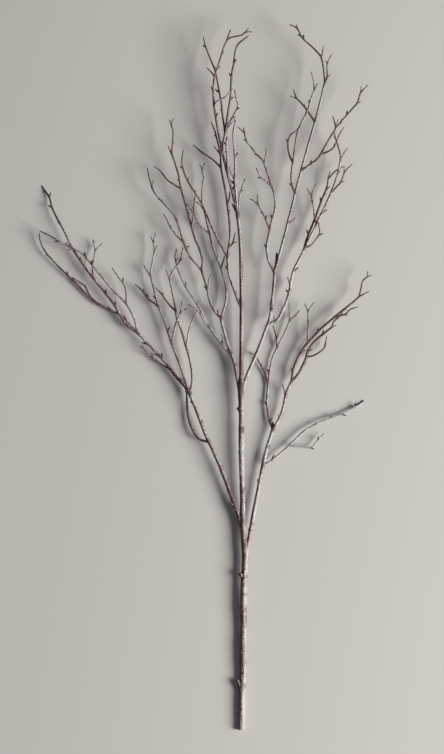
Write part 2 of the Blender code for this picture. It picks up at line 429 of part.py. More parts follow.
def smooth_curve(points):
    """Samples a smooth curve through the points, about every millimetre."""
    ends = [points[0] * 2 - points[1]] + points + [points[-1] * 2 - points[-2]]
    curve = []
    for a, b, c, d in zip(ends, ends[1:], ends[2:], ends[3:]):
        steps = max(1, round((c - b).length / ROUTE_STEP))
        for k in range(steps):
            t = k / steps
            bend = 2 * a - 5 * b + 4 * c - d
            twist = 3 * b - a - 3 * c + d
            curve.append(0.5 * (2 * b + (c - a) * t + bend * t * t + twist * t ** 3))
    curve.append(points[-1].copy())
    return curve


def stations_of(limb, grown):
    """Walks a limb from root to end, starting on the centreline of its parent."""
    root_height = None
    path = limb.path
    if limb.parent:
        x, y = path[0][:2]
        seat = min(grown[limb.parent], key=lambda s: (s.centre.xy - Vector((x, y))).length)
        root_height = seat.centre.z
        path = ((seat.centre.x, seat.centre.y),) + path[1:]
    curve = smooth_curve(with_heights(path, root_height))
    lengths = [0.0]
    for before, here in zip(curve, curve[1:]):
        lengths.append(lengths[-1] + (here - before).length)
    stations = []
    for i, centre in enumerate(curve):
        ahead = curve[min(i + 1, len(curve) - 1)]
        behind = curve[max(i - 1, 0)]
        radius = spread(limb.girth, lengths[i] / lengths[-1])
        stations.append(Station(centre, radius, (ahead - behind).normalized()))
    return stations


def strays(stations, first, last):
    """How far the curve strays from the straight line between two of its stations."""
    start = stations[first].centre
    line = (stations[last].centre - start).normalized()
    between = [station.centre - start for station in stations[first + 1:last]]
    return max((step - line * step.dot(line)).length for step in between)


def thinned(stations):
    """Keeps only the stations that hold straight runs within LINE_TOLERANCE of the curve."""
    end = len(stations) - 1
    kept = [0]
    while kept[-1] < end:
        first = kept[-1]
        last = min(first + 2, end)
        while last < min(end, first + RING_GAP) and strays(stations, first, last + 1) < LINE_TOLERANCE:
            last += 1
        kept.append(last)
    return [stations[i] for i in kept]


def rings_of(limb, stations):
    """The (centre, radius) rings of a limb, with a bud or a blunt break at its end."""
    trimmed = len(stations) - 1 - round(TIP_BUD_LENGTH / ROUTE_STEP)
    if limb.blunt or trimmed < 2:
        rings = [(s.centre, s.radius) for s in thinned(stations)]
        return rings + [(stations[-1].centre + stations[-1].along * 0.5, stations[-1].radius * 0.6)]
    rings = [(s.centre, s.radius) for s in thinned(stations[:trimmed + 1])]
    end = stations[-1]
    if end.radius > 0.8:
        return rings + [(end.centre, end.radius)]
    if max(limb.girth) > FINE_TWIG_RADIUS:
        swell = stations[trimmed + round(TIP_BUD_LENGTH * 0.4 / ROUTE_STEP)]
        rings.append((swell.centre, swell.radius * TIP_BUD_SWELL))
    return rings + [(end.centre, 0.0)]


def tube(name, rings, sides, roll, slant=0.0):
    """A closed tube through its rings. A last ring of no radius becomes a point.

    slant shears the first ring along the tube, for a cut that isn't square.
    """
    centres = [centre for centre, _ in rings]
    vertices = []
    faces = []
    across = Vector((0.0, 0.0, 1.0))
    for i, (centre, radius) in enumerate(rings):
        ahead = centres[min(i + 1, len(rings) - 1)]
        behind = centres[max(i - 1, 0)]
        along = (ahead - behind).normalized()
        across = (across - along * across.dot(along)).normalized()
        side = along.cross(across)
        if radius == 0.0:
            vertices.append(centre * MM)
            continue
        for k in range(sides):
            angle = roll + 2.0 * math.pi * k / sides
            offset = (across * math.cos(angle) + side * math.sin(angle)) * radius
            if i == 0:
                offset = offset + along * offset.x * slant
            vertices.append((centre + offset) * MM)
    whole_rings = sum(1 for _, radius in rings if radius > 0.0)
    faces.append([k for k in reversed(range(sides))])
    for i in range(whole_rings - 1):
        for k in range(sides):
            low, high = i * sides + k, i * sides + (k + 1) % sides
            faces.append([low, high, high + sides, low + sides])
    last = (whole_rings - 1) * sides
    if whole_rings < len(rings):
        faces.extend([last + k, last + (k + 1) % sides, last + sides] for k in range(sides))
    else:
        faces.append([last + k for k in range(sides)])
    mesh = bpy.data.meshes.new(name)
    mesh.from_pydata(vertices, [], faces)
    mesh.update()
    return bpy.data.objects.new(name, mesh)


def sides_for(limb):
    """More sides for the stem, fewer for thin twigs."""
    thickest = max(limb.girth)
    if thickest > 3.0:
        return 10
    if thickest > 1.5:
        return 6
    if thickest > 1.05:
        return 5
    return 4 if thickest > FINE_TWIG_RADIUS else 3


def bud(name, station, side, lift, sides=3):
    """A pointed bud that leans out from its twig, with its root in the twig."""
    flat = Vector((station.along.y, -station.along.x, 0.0)).normalized() * side
    out = (flat + Vector((0.0, 0.0, lift))).normalized()
    lean = (station.along * math.cos(BUD_ANGLE) + out * math.sin(BUD_ANGLE)).normalized()
    reach = BUD_LENGTH + station.radius / math.sin(BUD_ANGLE) * 0.8
    start = station.centre + station.along * 0.3
    girth = BUD_RADIUS + station.radius * 0.12
    rings = [(start, girth * 0.7), (start + lean * reach * 0.6, girth), (start + lean * reach, 0.0)]
    return tube(name, rings, sides, roll=0.4)


def named_buds(limb_name, stations):
    """The buds that were seen on a limb, as (station, side)."""
    found = []
    for x, y in SEEN_BUDS.get(limb_name, ()):
        tip = Vector((x, y))
        near = min(range(len(stations)), key=lambda i: (stations[i].centre.xy - tip).length)
        away = tip - stations[near].centre.xy
        right = Vector((stations[near].along.y, -stations[near].along.x))
        base = stations[max(0, near - round(BUD_LENGTH * 0.8 / ROUTE_STEP))]
        found.append((base, 1.0 if away.dot(right) > 0.0 else -1.0))
    return found


def rule_buds(stations, taken, draw):
    """Fills a twig with alternate buds, clear of forks and of the buds already on it."""
    found = []
    side = draw.choice((-1.0, 1.0))
    place = draw.uniform(*BUD_SPACING) * 0.6
    while place < len(stations) - 1 - 2.5 * TIP_BUD_LENGTH:
        station = stations[round(place)]
        clear = all((station.centre - spot).length > BUD_CLEAR_OF_FORK for spot in taken)
        if clear and station.radius <= BUD_TWIG_RADIUS:
            found.append((station, side))
            side = -side
        place += draw.uniform(*BUD_SPACING)
    return found


def bark_material():
    """Smooth, slightly glossy, dark reddish bark."""
    material = bpy.data.materials.new("bark")
    material.use_nodes = True
    shader = material.node_tree.nodes["Principled BSDF"]
    shader.inputs["Base Color"].default_value = BARK_COLOUR
    shader.inputs["Roughness"].default_value = BARK_ROUGHNESS
    shader.inputs["Metallic"].default_value = 0.0
    return material


def grow_all():
    """Stations of every limb, by name, with parents before the limbs that they bear."""
    grown = {}
    for limb in LIMBS:
        grown[limb.name] = stations_of(limb, grown)
    return grown


def limb_objects(grown):
    """One closed tube for each limb. A limb that carries on from its parent is sunk into it."""
    draw = random.Random(BUD_SEED)
    tubes = []
    for limb in LIMBS:
        rings = rings_of(limb, grown[limb.name])
        sides = sides_for(limb)
        if limb.parent:
            start, radius = rings[0]
            back = (rings[1][0] - start).normalized() * min(ROOT_SINK, 0.6 * radius)
            rings[0] = (start - back, radius)
            roll = draw.uniform(0.2, 1.0)
            tubes.append(tube(limb.name, rings, sides, roll))
        else:
            tubes.append(tube(limb.name, rings, sides, math.pi / sides, slant=CUT_SLANT))
    return tubes


def bud_objects(grown):
    """Every bud: those that were seen, then those that the seeded rule adds."""
    draw = random.Random(BUD_SEED)
    buds = []
    for limb in LIMBS:
        stations = grown[limb.name]
        seen = named_buds(limb.name, stations)
        taken = [station.centre for station, _ in seen]
        taken += [grown[other.name][0].centre for other in LIMBS if other.parent == limb.name]
        added = [] if limb.blunt else rule_buds(stations, taken, draw)
        for index, (station, side) in enumerate(seen + added):
            low = station.centre.z < LOW_TWIG_HEIGHT
            lift = draw.uniform(0.3, 0.6) if low else draw.uniform(-0.3, 0.5)
            buds.append(bud(f"{limb.name}_bud_{index}", station, side, lift))
    return buds


def joined(base, others):
    """One solid: the union of base with all the others, which are then removed."""
    group = bpy.data.collections.new("grown_parts")
    bpy.context.scene.collection.children.link(group)
    for other in others:
        group.objects.link(other)
    union = base.modifiers.new("grow together", "BOOLEAN")
    union.operation = "UNION"
    union.operand_type = "COLLECTION"
    union.collection = group
    union.solver = "EXACT"
    apply_modifiers(base)
    for other in others:
        bpy.data.objects.remove(other, do_unlink=True)
    bpy.data.collections.remove(group)


def apply_modifiers(target):
    """Replaces an object's mesh with the one that its modifiers make."""
    graph = bpy.context.evaluated_depsgraph_get()
    made = bpy.data.meshes.new_from_object(target.evaluated_get(graph))
    target.modifiers.clear()
    target.data = made


def flatten_underside(target):
    """Cuts off what reaches below the table, which leaves the small flats that it rests on."""
    size = 2.0
    depth = 0.02
    corners = [(x, y, z) for z in (-depth, 0.0) for y in (-size, size) for x in (-size, size)]
    faces = [(0, 2, 3, 1), (4, 5, 7, 6), (0, 1, 5, 4), (2, 6, 7, 3), (0, 4, 6, 2), (1, 3, 7, 5)]
    mesh = bpy.data.meshes.new("table_cutter")
    mesh.from_pydata(corners, [], faces)
    cutter = bpy.data.objects.new("table_cutter", mesh)
    cutter.hide_render = True
    cutter.display_type = "WIRE"
    bpy.context.scene.collection.objects.link(cutter)
    cut = target.modifiers.new("rest flats", "BOOLEAN")
    cut.operation = "DIFFERENCE"
    cut.object = cutter
    cut.solver = "EXACT"
    apply_modifiers(target)
    bpy.data.objects.remove(cutter, do_unlink=True)


def build():
    """Makes the branch."""
    clear_scene()
    grown = grow_all()
    tubes = limb_objects(grown)
    branch = tubes[0]
    branch.name = "birch_branch"
    branch.data.name = "birch_branch"
    bpy.context.scene.collection.objects.link(branch)
    joined(branch, tubes[1:] + bud_objects(grown))
    flatten_underside(branch)
    branch.data.materials.clear()
    branch.data.materials.append(bark_material())
    branch.data.shade_smooth()
    branch.data.set_sharp_from_angle(angle=math.radians(40.0))


build()
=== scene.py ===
"""The looks of a bare, cut birch branch that lies on a table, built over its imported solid.

The branch is one grown thing: a stem, its forked limbs, fine twigs, short spurs, broken stubs and
buds. Each limb follows the same route as the solid's, and is swept again as fine bark with its
swellings, lenticels and yearly ring scars. Buds and knobs are modelled once and copied along the
limbs. Lengths are millimetres where nothing else is said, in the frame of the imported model.
"""

from __future__ import annotations

import json
import logging
import math
import random
from dataclasses import dataclass, field, replace
from enum import Enum

import bpy
import numpy as np
from mathutils import Matrix, Vector

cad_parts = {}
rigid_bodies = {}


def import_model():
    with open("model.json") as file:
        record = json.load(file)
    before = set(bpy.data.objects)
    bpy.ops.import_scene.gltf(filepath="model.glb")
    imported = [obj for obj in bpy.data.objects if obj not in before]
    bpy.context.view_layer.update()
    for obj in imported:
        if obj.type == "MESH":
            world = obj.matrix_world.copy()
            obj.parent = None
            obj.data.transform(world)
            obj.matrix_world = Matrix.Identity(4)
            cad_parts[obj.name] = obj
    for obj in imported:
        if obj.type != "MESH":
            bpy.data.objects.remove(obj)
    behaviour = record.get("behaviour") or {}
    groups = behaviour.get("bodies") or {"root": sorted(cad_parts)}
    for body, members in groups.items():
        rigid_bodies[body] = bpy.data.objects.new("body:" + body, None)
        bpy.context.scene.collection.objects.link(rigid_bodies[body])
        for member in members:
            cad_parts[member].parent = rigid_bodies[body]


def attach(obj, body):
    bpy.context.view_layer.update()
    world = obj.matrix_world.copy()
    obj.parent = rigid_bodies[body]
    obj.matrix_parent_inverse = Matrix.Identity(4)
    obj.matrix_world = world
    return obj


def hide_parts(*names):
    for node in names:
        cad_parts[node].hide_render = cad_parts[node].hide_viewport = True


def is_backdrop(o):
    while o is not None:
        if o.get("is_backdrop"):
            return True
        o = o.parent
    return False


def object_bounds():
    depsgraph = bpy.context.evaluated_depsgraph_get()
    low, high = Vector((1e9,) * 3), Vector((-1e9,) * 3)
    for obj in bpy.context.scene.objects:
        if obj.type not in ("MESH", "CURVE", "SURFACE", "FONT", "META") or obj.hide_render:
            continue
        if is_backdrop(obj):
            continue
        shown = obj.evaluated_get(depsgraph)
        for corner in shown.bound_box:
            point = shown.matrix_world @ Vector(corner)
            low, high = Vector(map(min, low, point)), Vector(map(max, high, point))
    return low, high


LOG = logging.getLogger("birch_branch")
MM = 0.001
NODE = "birch_branch"
SEED = 11
BUD_LENGTH = 4.8

# Lengths that differ by less than a hair are the same. A turn is the most that chance turns a thing.
HAIR = 1e-5
TURN = 6.28

# A pair of values, a colour, direction or scale, and a noise's fineness along three axes with its
# detail.
Pair = tuple[float, float]
Triple = tuple[float, float, float]
Grain = tuple[Triple, float]
Socket = bpy.types.NodeSocket
Value = float | Triple | Socket


class Tone(Enum):
    """How much silvery bloom a stretch of bark carries, from all over it to none."""

    BRIGHT = 1.1
    SILVER = 0.9
    PALE = 0.7
    MIXED = 0.54
    RED = 0.26
    DARK = 0.0


class Skin(Enum):
    """The material slots that every piece of the branch has, in this order."""

    BARK = 0
    BUD = 1
    WOOD = 2


@dataclass(frozen=True)
class Limb:
    """One stem, limb, twig or stub.

    girth holds radii evenly spread from root to end. path holds its points from the root
    outwards, as (x, y) or (x, y, height of the centreline). A point with no height takes it from
    its neighbours, by length.
    """

    name: str
    parent: str
    girth: tuple[float, ...]
    path: tuple[tuple[float, ...], ...]
    blunt: bool = False


class Kind(Enum):
    """What a limb bears at a place: a bud, the stubby knob of an older limb, or a curl of bark."""

    BUD = "bud"
    KNOB = "knob"
    FLAKE = "flake"


LIMBS = (
    Limb("stem", "",
        (4.0, 4.15, 4.4, 4.1, 4.2, 3.2, 3.1, 3.15, 2.85, 2.6, 2.35, 2.05, 1.7), ((47.3, -458, 3.6),
        (48, -420, 3.85), (49.2, -380, 4.6), (49.6, -340, 5.5), (49.6, -303, 6.3), (50, -270, 7.2),
        (51.8, -230, 8), (49, -195, 8.8), (48.3, -150, 9.5), (47, -100, 10.5), (46.8, -60, 11.2),
        (46.5, -15, 12), (46.8, 20, 13), (47, 60, 14), (47.2, 95, 15), (46.2, 150, 16.5), (45.2, 180, 17.5),
        (43.5, 200, 18), (41.5, 217, 18.5))),
    Limb("broken_stub", "stem", (2.2, 2.0), ((48.2, -419, 4.4), (45.6, -405, 5.0), (42.0, -393.5, 6.8)),
        True),
    # The crown: two thin leaders that end the stem, and what forks from them.
    Limb("leader", "stem", (1.6, 1.3, 1.1, 0.9, 0.7), ((41.5, 217), (38.5, 230, 18.7), (31.5, 256),
        (28.5, 268, 20.5), (22.5, 292), (21, 300, 22), (15.5, 328), (11.5, 355, 25), (10.5, 370),
        (10.7, 382), (12, 392, 28), (17.5, 409), (24, 430, 31), (28, 439), (31, 448), (33, 454, 34))),
    Limb("leader_fork", "leader", (0.7, 0.55), ((28.5, 440), (33, 443), (40, 444.5), (47, 446), (52, 450),
        (57, 456, 34))),
    Limb("leader_fork_side", "leader_fork", (0.55, 0.5), ((51, 449), (57, 450.5), (62, 450, 33.5))),
    Limb("leader_spur", "leader", (0.8, 0.6), ((12.5, 393), (7, 399), (1.5, 404, 31))),
    Limb("pale_twig", "leader", (0.85, 0.6), ((11.7, 352), (14, 359, 27.5), (20, 362.5, 29.5),
        (27, 366, 31), (33, 374, 32.5), (36, 377, 33))),
    Limb("leader_side", "leader", (1.0, 0.7), ((28.5, 267), (28.3, 285, 23.5), (27.4, 302, 27),
        (28.1, 315, 29))),
    Limb("mid_leader", "leader", (1.15, 1.0, 0.7), ((21.5, 297), (23, 307), (26, 320, 23.5), (27.5, 332),
        (30, 349, 26), (32.5, 364), (33.3, 380, 28.5), (34.5, 396), (37, 410), (38.7, 424, 31), (42.5, 434),
        (50, 440.5), (57, 446, 33))),
    Limb("mid_leader_low", "mid_leader", (0.7, 0.5), ((26.5, 322), (31, 329), (36.6, 334.6, 24))),
    Limb("mid_leader_right", "mid_leader", (0.9, 0.6), ((27.3, 328), (32, 334), (36.6, 342), (41.5, 351.5),
        (42.2, 357), (39.6, 367), (38, 376, 27))),
    Limb("mid_leader_left", "mid_leader", (0.9, 0.6), ((25.8, 319), (24, 331), (22, 345, 21.8), (20.8, 358),
        (18.5, 371, 22), (14.5, 393, 23), (13, 400), (9, 410), (4, 422, 25), (0, 433), (-3, 445, 27))),
    Limb("right_leader", "stem", (1.5, 1.1, 0.7), ((42, 215), (41, 228), (38.3, 255, 21.5), (38.5, 270),
        (38.8, 285, 24), (36.3, 315, 27), (37, 325), (39, 332), (37.5, 338, 30))),
    Limb("right_leader_spur", "right_leader", (0.7, 0.5), ((38, 259), (33.5, 268, 23.5), (30, 277, 26))),
    Limb("crown_twig", "stem", (0.9, 0.6), ((43, 211), (43.8, 228), (45, 240), (49, 252), (52, 261, 22))),
    Limb("crown_stub", "stem", (0.8, 0.6), ((41.5, 214), (38, 221), (34.5, 228, 15.8)), True),
    # The middle limb, which leaves the stem to the left and forks in two.
    Limb("middle_limb", "stem", (1.55, 1.3), ((46.6, 92), (43, 101), (39, 112), (31.5, 133), (29.8, 145),
        (28.8, 160, 12.5))),
    Limb("middle_right", "middle_limb", (1.2, 0.9, 0.6), ((28.8, 160), (30.5, 170), (32, 183, 13),
        (31.8, 197), (30.5, 212, 13.5), (26.5, 242, 14), (21, 270, 15), (20, 281), (19, 294, 15.7),
        (12.8, 321), (7, 335, 18))),
    Limb("middle_right_a", "middle_right", (0.9, 0.6), ((20.6, 275), (12, 283), (5.6, 288), (-5, 295),
        (-16.3, 305, 15.3))),
    Limb("middle_right_b", "middle_right", (0.7, 0.5), ((19.2, 292), (10.5, 303, 17.5))),
    Limb("middle_right_c", "middle_right", (0.8, 0.5), ((30.8, 171), (35.5, 176), (37.5, 184),
        (39, 191, 14.5))),
    Limb("middle_right_c_side", "middle_right_c", (0.55, 0.5), ((35.5, 176), (41.5, 178.6, 13))),
    Limb("middle_right_d", "middle_right", (0.85, 0.6), ((28.6, 225), (31, 234), (32, 244, 15.6))),
    Limb("middle_left", "middle_limb", (1.1, 0.9, 0.6), ((28.8, 159), (24, 167), (18.5, 177),
        (12.5, 189, 15), (7.5, 199), (3, 210, 17), (-6, 230, 18), (-13.5, 242), (-21.8, 255, 20),
        (-27.6, 268), (-30.4, 282), (-28.5, 298, 23))),
    # The left fork of the stem, at the triple fork.
    Limb("left_fork", "stem", (2.1, 1.7), ((46.4, -34), (43.8, -14), (42, -4), (40.3, 6), (38.5, 17),
        (35.5, 27), (32.5, 35, 12.5))),
    Limb("inner_limb", "left_fork", (1.5, 1.4), ((32.5, 35), (30, 43), (27, 52), (24, 63), (21.5, 72),
        (20.8, 79, 12.5))),
    Limb("inner_stub", "inner_limb", (0.8, 0.6), ((26.8, 51), (20.5, 57, 14.5)), True),
    Limb("inner_left", "inner_limb", (1.2, 1.15), ((20.8, 79), (16, 83), (11, 90), (7.5, 97), (4.5, 106),
        (2.5, 117), (-0.5, 127), (-5, 141, 14))),
    Limb("inner_left_spur", "inner_left", (0.7, 0.5), ((2.9, 114), (4.5, 126), (5.5, 132), (8, 137, 15))),
    Limb("dark_arch", "inner_left", (1.1, 0.9, 0.6), ((-5, 141), (-3.6, 154), (-8.6, 171, 15), (-13.5, 182),
        (-20, 205, 16.5), (-26.8, 230), (-31.7, 247, 18.5), (-35, 265), (-40, 282, 21), (-43.4, 293),
        (-42.5, 307), (-41.7, 320, 24), (-44, 331), (-41, 339, 26))),
    Limb("dark_arch_tip", "dark_arch", (0.55, 0.5), ((-43.6, 328), (-47, 337, 27))),
    Limb("dark_arch_a", "dark_arch", (0.8, 0.5), ((-32, 247), (-41.7, 253), (-50, 259), (-57.5, 269),
        (-68, 277, 20.5))),
    Limb("dark_arch_b", "dark_arch", (0.6, 0.5), ((-42.6, 289), (-46, 297), (-49.2, 304, 22.5))),
    Limb("dark_arch_c", "dark_arch", (0.8, 0.5), ((-18, 197), (-15.6, 212, 19), (-14, 229, 22.5),
        (-12.7, 246, 25))),
    Limb("bowed_twig", "inner_left", (1.0, 0.8, 0.6), ((-5, 141), (-10.5, 148), (-17, 155, 15), (-25, 169),
        (-29.3, 181, 16), (-33.4, 194), (-40, 212, 17.5), (-46.7, 220), (-56.7, 231, 19), (-67.4, 244),
        (-72, 258), (-76, 275, 22))),
    Limb("bowed_twig_a", "bowed_twig", (0.6, 0.5), ((-66.8, 243), (-68.5, 251), (-67.4, 259, 23))),
    Limb("bowed_twig_b", "bowed_twig", (0.8, 0.5), ((-28.4, 177), (-38.4, 187), (-46.7, 199), (-50, 207),
        (-55, 215, 18.5))),
    Limb("bowed_twig_c", "bowed_twig", (0.55, 0.5), ((-25.6, 170), (-22, 173), (-19.5, 172.5, 17.5))),
    Limb("inner_right", "inner_limb", (1.15, 0.9, 0.6), ((20.8, 79), (23, 87), (26, 96), (27.5, 106, 11),
        (27.5, 116), (25.5, 126), (22.5, 136, 10), (19.8, 146), (14, 160), (9.5, 173, 9.5), (3.5, 197),
        (1, 208, 10), (-4, 230, 10.5), (-4.5, 242), (-3, 254, 12), (-1.7, 262), (-4, 270), (-1, 282, 14))),
    Limb("inner_right_tip", "inner_right", (0.55, 0.5), ((-3.8, 272), (-8, 280, 14.8))),
    Limb("dark_spur", "inner_right", (0.8, 0.6), ((20.4, 144), (23.5, 154), (25.5, 160.5, 8.6))),
    Limb("inner_right_a", "inner_right", (0.9, 0.5), ((5.4, 189), (-4, 196), (-9, 202, 11), (-12, 209),
        (-16, 217), (-25, 228, 12.5))),
    Limb("inner_right_a_stub", "inner_right_a", (0.5, 0.45), ((-8.4, 201), (-13.5, 203.5, 12)), True),
    Limb("inner_right_b", "inner_right", (0.7, 0.5), ((-2.4, 221), (-8.6, 228), (-14.3, 231),
        (-15.5, 235, 14))),
    Limb("wide_twig", "left_fork", (1.2, 0.95, 0.6), ((32.5, 34), (27.5, 37), (22.5, 43), (17, 50.5, 11.5),
        (6, 66), (1.5, 73, 10.5), (-3.5, 83), (-10, 96), (-15, 104, 9.5), (-26, 120), (-31, 131, 9),
        (-35, 141), (-37.7, 150, 9.5), (-39.3, 160), (-37, 170, 11))),
    Limb("wide_twig_tip", "wide_twig", (0.55, 0.5), ((-37.5, 150), (-35.5, 158.5, 11))),
    Limb("wide_twig_a", "wide_twig", (0.8, 0.5), ((6, 66), (0.5, 70.5, 11.6), (-3.5, 78, 13), (-7.5, 86),
        (-15, 92), (-23, 97, 15))),
    # The long left limb and its fan of twigs.
    Limb("left_limb", "stem", (2.5, 2.2, 1.9), ((48.8, -200), (45.2, -187), (42.8, -178), (36.4, -160),
        (31.4, -147), (21.4, -120), (9.2, -92), (4, -81, 10.7), (-1.4, -69), (-11.4, -42), (-21, -18, 12))),
    Limb("crossing_twig", "left_limb", (1.2, 1.0, 0.7), ((3.6, -83), (-3, -81), (-10.5, -77, 8.5),
        (-17, -66), (-21, -55, 6), (-23.3, -43), (-24, -30, 5), (-24.5, -17), (-28, -10), (-37.5, 0.5, 5.5),
        (-46.5, 12), (-60, 20, 6), (-72, 30, 6.5))),
    Limb("left_arm", "left_limb", (1.5, 1.3), ((-21, -18), (-26, -10), (-32, -2), (-39, 6.5), (-55, 24),
        (-69, 39), (-84, 55), (-89, 60, 9.5))),
    Limb("left_arm_spur", "left_arm", (0.7, 0.5), ((-60.5, 30), (-67, 31), (-73.5, 33.5), (-79, 38),
        (-85, 42.5, 12))),
    Limb("pale_far_twig", "left_arm", (1.2, 0.9, 0.6), ((-89, 60), (-89.7, 67), (-92, 77, 10.5), (-96, 86),
        (-104, 98.5, 12), (-118, 113), (-127, 123, 13.5), (-146, 146, 15), (-158.5, 161), (-168, 167, 16),
        (-190, 178), (-200, 184.5), (-216.5, 192.5, 17))),
    Limb("pale_far_side", "pale_far_twig", (0.55, 0.5), ((-175, 170.6), (-183, 178, 18))),
    Limb("pale_far_low", "pale_far_twig", (0.55, 0.5), ((-171, 168.6), (-180, 168, 18.5))),
    Limb("pale_far_a", "pale_far_twig", (0.8, 0.5), ((-103.5, 98), (-103, 107), (-104, 116), (-107, 124),
        (-112, 130), (-122, 145, 14.5))),
    Limb("propping_twig", "left_arm", (1.2, 0.95, 0.7), ((-89, 60), (-97, 65), (-105, 73),
        (-113.5, 87, 10.5), (-118, 95), (-124.5, 104, 11), (-140, 123), (-147, 132, 10.5), (-155, 142),
        (-169, 163, 10.5), (-175, 172.5), (-184, 192), (-189.5, 202, 9), (-195.5, 213, 7.5), (-200, 223, 6),
        (-202, 231), (-204.5, 238, 3.2), (-210, 246, 0.95), (-213.5, 252, 0.2))),
    Limb("propping_side", "propping_twig", (0.85, 0.5), ((-145.5, 130), (-147, 142, 9), (-146, 153, 8),
        (-143.7, 167, 6.5), (-145, 175), (-147, 182, 6))),
    Limb("propping_side_fork", "propping_side", (0.55, 0.5), ((-144, 166), (-139, 172), (-134, 177, 6))),
    Limb("low_far_twig", "left_arm", (1.1, 0.9, 0.6), ((-89, 60), (-98, 70), (-106, 79, 7.5),
        (-113, 84.5, 6.2), (-120, 87), (-128, 91, 5.5), (-136, 95.5), (-150, 105, 5), (-171, 126.5, 5),
        (-190, 144.5), (-199, 154, 6), (-207, 163), (-212.5, 172), (-215.5, 181), (-217, 190, 8))),
    Limb("low_far_a", "low_far_twig", (0.8, 0.5), ((-143, 99.6), (-150, 107), (-154.5, 115), (-159, 122),
        (-174, 132, 7))),
    Limb("left_middle", "left_limb", (1.35, 1.0, 0.6), ((-21, -18), (-24, -9), (-27.5, 0, 13), (-31, 12),
        (-40.5, 37, 12), (-49, 61), (-53, 74, 10.5), (-62, 97, 10), (-68, 121), (-71, 134, 10.5),
        (-70.3, 144), (-66.3, 167), (-67.3, 176), (-65, 191, 13))),
    Limb("left_middle_tip", "left_middle", (0.55, 0.5), ((-67.5, 177), (-72, 186, 13))),
    Limb("left_middle_side", "left_middle", (0.55, 0.5), ((-66.6, 164), (-63, 174, 13))),
    Limb("left_middle_a", "left_middle", (0.7, 0.5), ((-70.8, 133), (-76, 140), (-81, 149, 11.5))),
    Limb("left_middle_b", "left_middle", (0.8, 0.5), ((-60.6, 93), (-68, 99), (-74, 103.5), (-79, 110),
        (-84, 116), (-93, 124, 9))),
    Limb("left_middle_c", "left_middle", (0.9, 0.5), ((-43.7, 46), (-41.5, 56), (-39.5, 67, 14.5),
        (-36, 77, 16.6), (-32.5, 86), (-31, 93), (-31, 101, 19.5))),
    Limb("left_middle_c_side", "left_middle_c", (0.55, 0.5), ((-33, 85), (-28, 88.5), (-23, 92, 18.8))),
    Limb("left_inner", "left_limb", (1.35, 1.0, 0.6), ((-20.8, -18), (-18, -10), (-17, 0), (-17.5, 10),
        (-19.5, 21), (-22.5, 33, 11.5), (-33, 68, 12), (-37, 79), (-39, 91, 12.5), (-41.5, 105),
        (-46, 129, 13.5), (-44, 136), (-40, 143.5, 14), (-34, 152, 14.5), (-31, 160), (-29, 172, 13.8))),
    Limb("left_inner_tip", "left_inner", (0.55, 0.5), ((-34.6, 151.4), (-29, 157, 16.5))),
    Limb("left_inner_side", "left_inner", (0.6, 0.5), ((-45.6, 127), (-49, 136), (-52, 143, 15.5))),
    Limb("left_inner_a", "left_inner", (0.9, 0.5), ((-39, 88), (-46, 95), (-52, 102.5), (-57.5, 110.5),
        (-66, 119, 15.8))),
    Limb("left_inner_b", "left_inner", (0.9, 0.5), ((-24.8, 41), (-23, 52), (-21.5, 61), (-18.5, 71),
        (-14, 81.5, 16.5), (-11, 89, 18.5))),
    Limb("left_inner_b_side", "left_inner_b", (0.5, 0.45), ((-14.8, 80), (-16, 90, 18.8))),
    # The low right limb and its forks.
    Limb("right_limb", "stem", (2.7, 2.4, 2.2, 1.9), ((51.4, -237), (54.5, -221), (57, -208), (62, -181),
        (68, -150), (74, -119), (79.5, -94), (86, -73), (88.5, -66, 8))),
    Limb("propping_arm", "right_limb", (1.3, 1.0, 0.7), ((74.6, -116), (79, -111.5), (86, -107.5),
        (93, -102), (110, -87, 7.5), (126, -71.5, 7), (134, -65.5), (152, -56, 6), (172, -49),
        (181, -45.5, 4), (190, -39.5), (199.6, -35.4, 1.9), (204, -31.4, 0.85), (207, -28, 0.2))),
    Limb("propping_arm_tip", "propping_arm", (0.55, 0.5), ((191.5, -38.8), (197, -30.5, 5))),
    Limb("propping_arm_side", "propping_arm", (0.8, 0.5), ((109.5, -87.4), (120, -88.5), (130, -90),
        (139, -89.5, 6.3), (145, -83), (155, -71, 6))),
    Limb("low_right", "right_limb", (1.15, 0.9, 0.6), ((88.3, -67), (85, -58), (82.5, -48, 5), (80.7, -36),
        (80.8, -22, 3.4), (83, 3, 3.4), (84.5, 13), (87, 25, 4), (90.5, 34), (98.5, 49.5, 5),
        (106.5, 66, 6.5), (110.5, 76, 7), (117, 81.5), (123, 89.5, 8))),
    Limb("low_right_tip", "low_right", (0.6, 0.5), ((110, 74.6), (109.7, 89), (108.6, 100, 8.5))),
    Limb("low_right_a", "low_right", (0.8, 0.5), ((81.6, -10), (79, 3), (75, 12), (70, 21.5), (65, 30.5),
        (57, 34, 5))),
    Limb("low_right_b", "low_right", (0.7, 0.5), ((93.4, 39.6), (92.5, 54), (90, 63), (88, 70, 8))),
    Limb("right_arm", "right_limb", (1.75, 1.4), ((88.5, -66), (93, -58.5), (97, -51), (100.5, -42),
        (105.5, -20), (109, -11), (112.5, -3.5, 9))),
    Limb("right_arm_stub", "right_arm", (0.8, 0.6), ((104.6, -24), (103, -15), (100, -7, 11))),
    Limb("right_outer", "right_arm", (1.2, 0.95, 0.6), ((112.5, -3.5), (113.5, 5), (115.5, 14), (120, 25),
        (126, 36, 11), (133, 46), (150, 64, 13), (166, 78), (178, 88, 15), (193, 100), (200, 107, 17),
        (202.8, 117.5), (205.3, 127.5), (212.5, 133), (217, 135, 20))),
    Limb("right_outer_tip", "right_outer", (0.55, 0.5), ((210.6, 131.8), (211.5, 141, 21.5))),
    Limb("right_outer_side", "right_outer", (0.6, 0.5), ((199.5, 106.4), (206.5, 110), (214, 114, 19.5))),
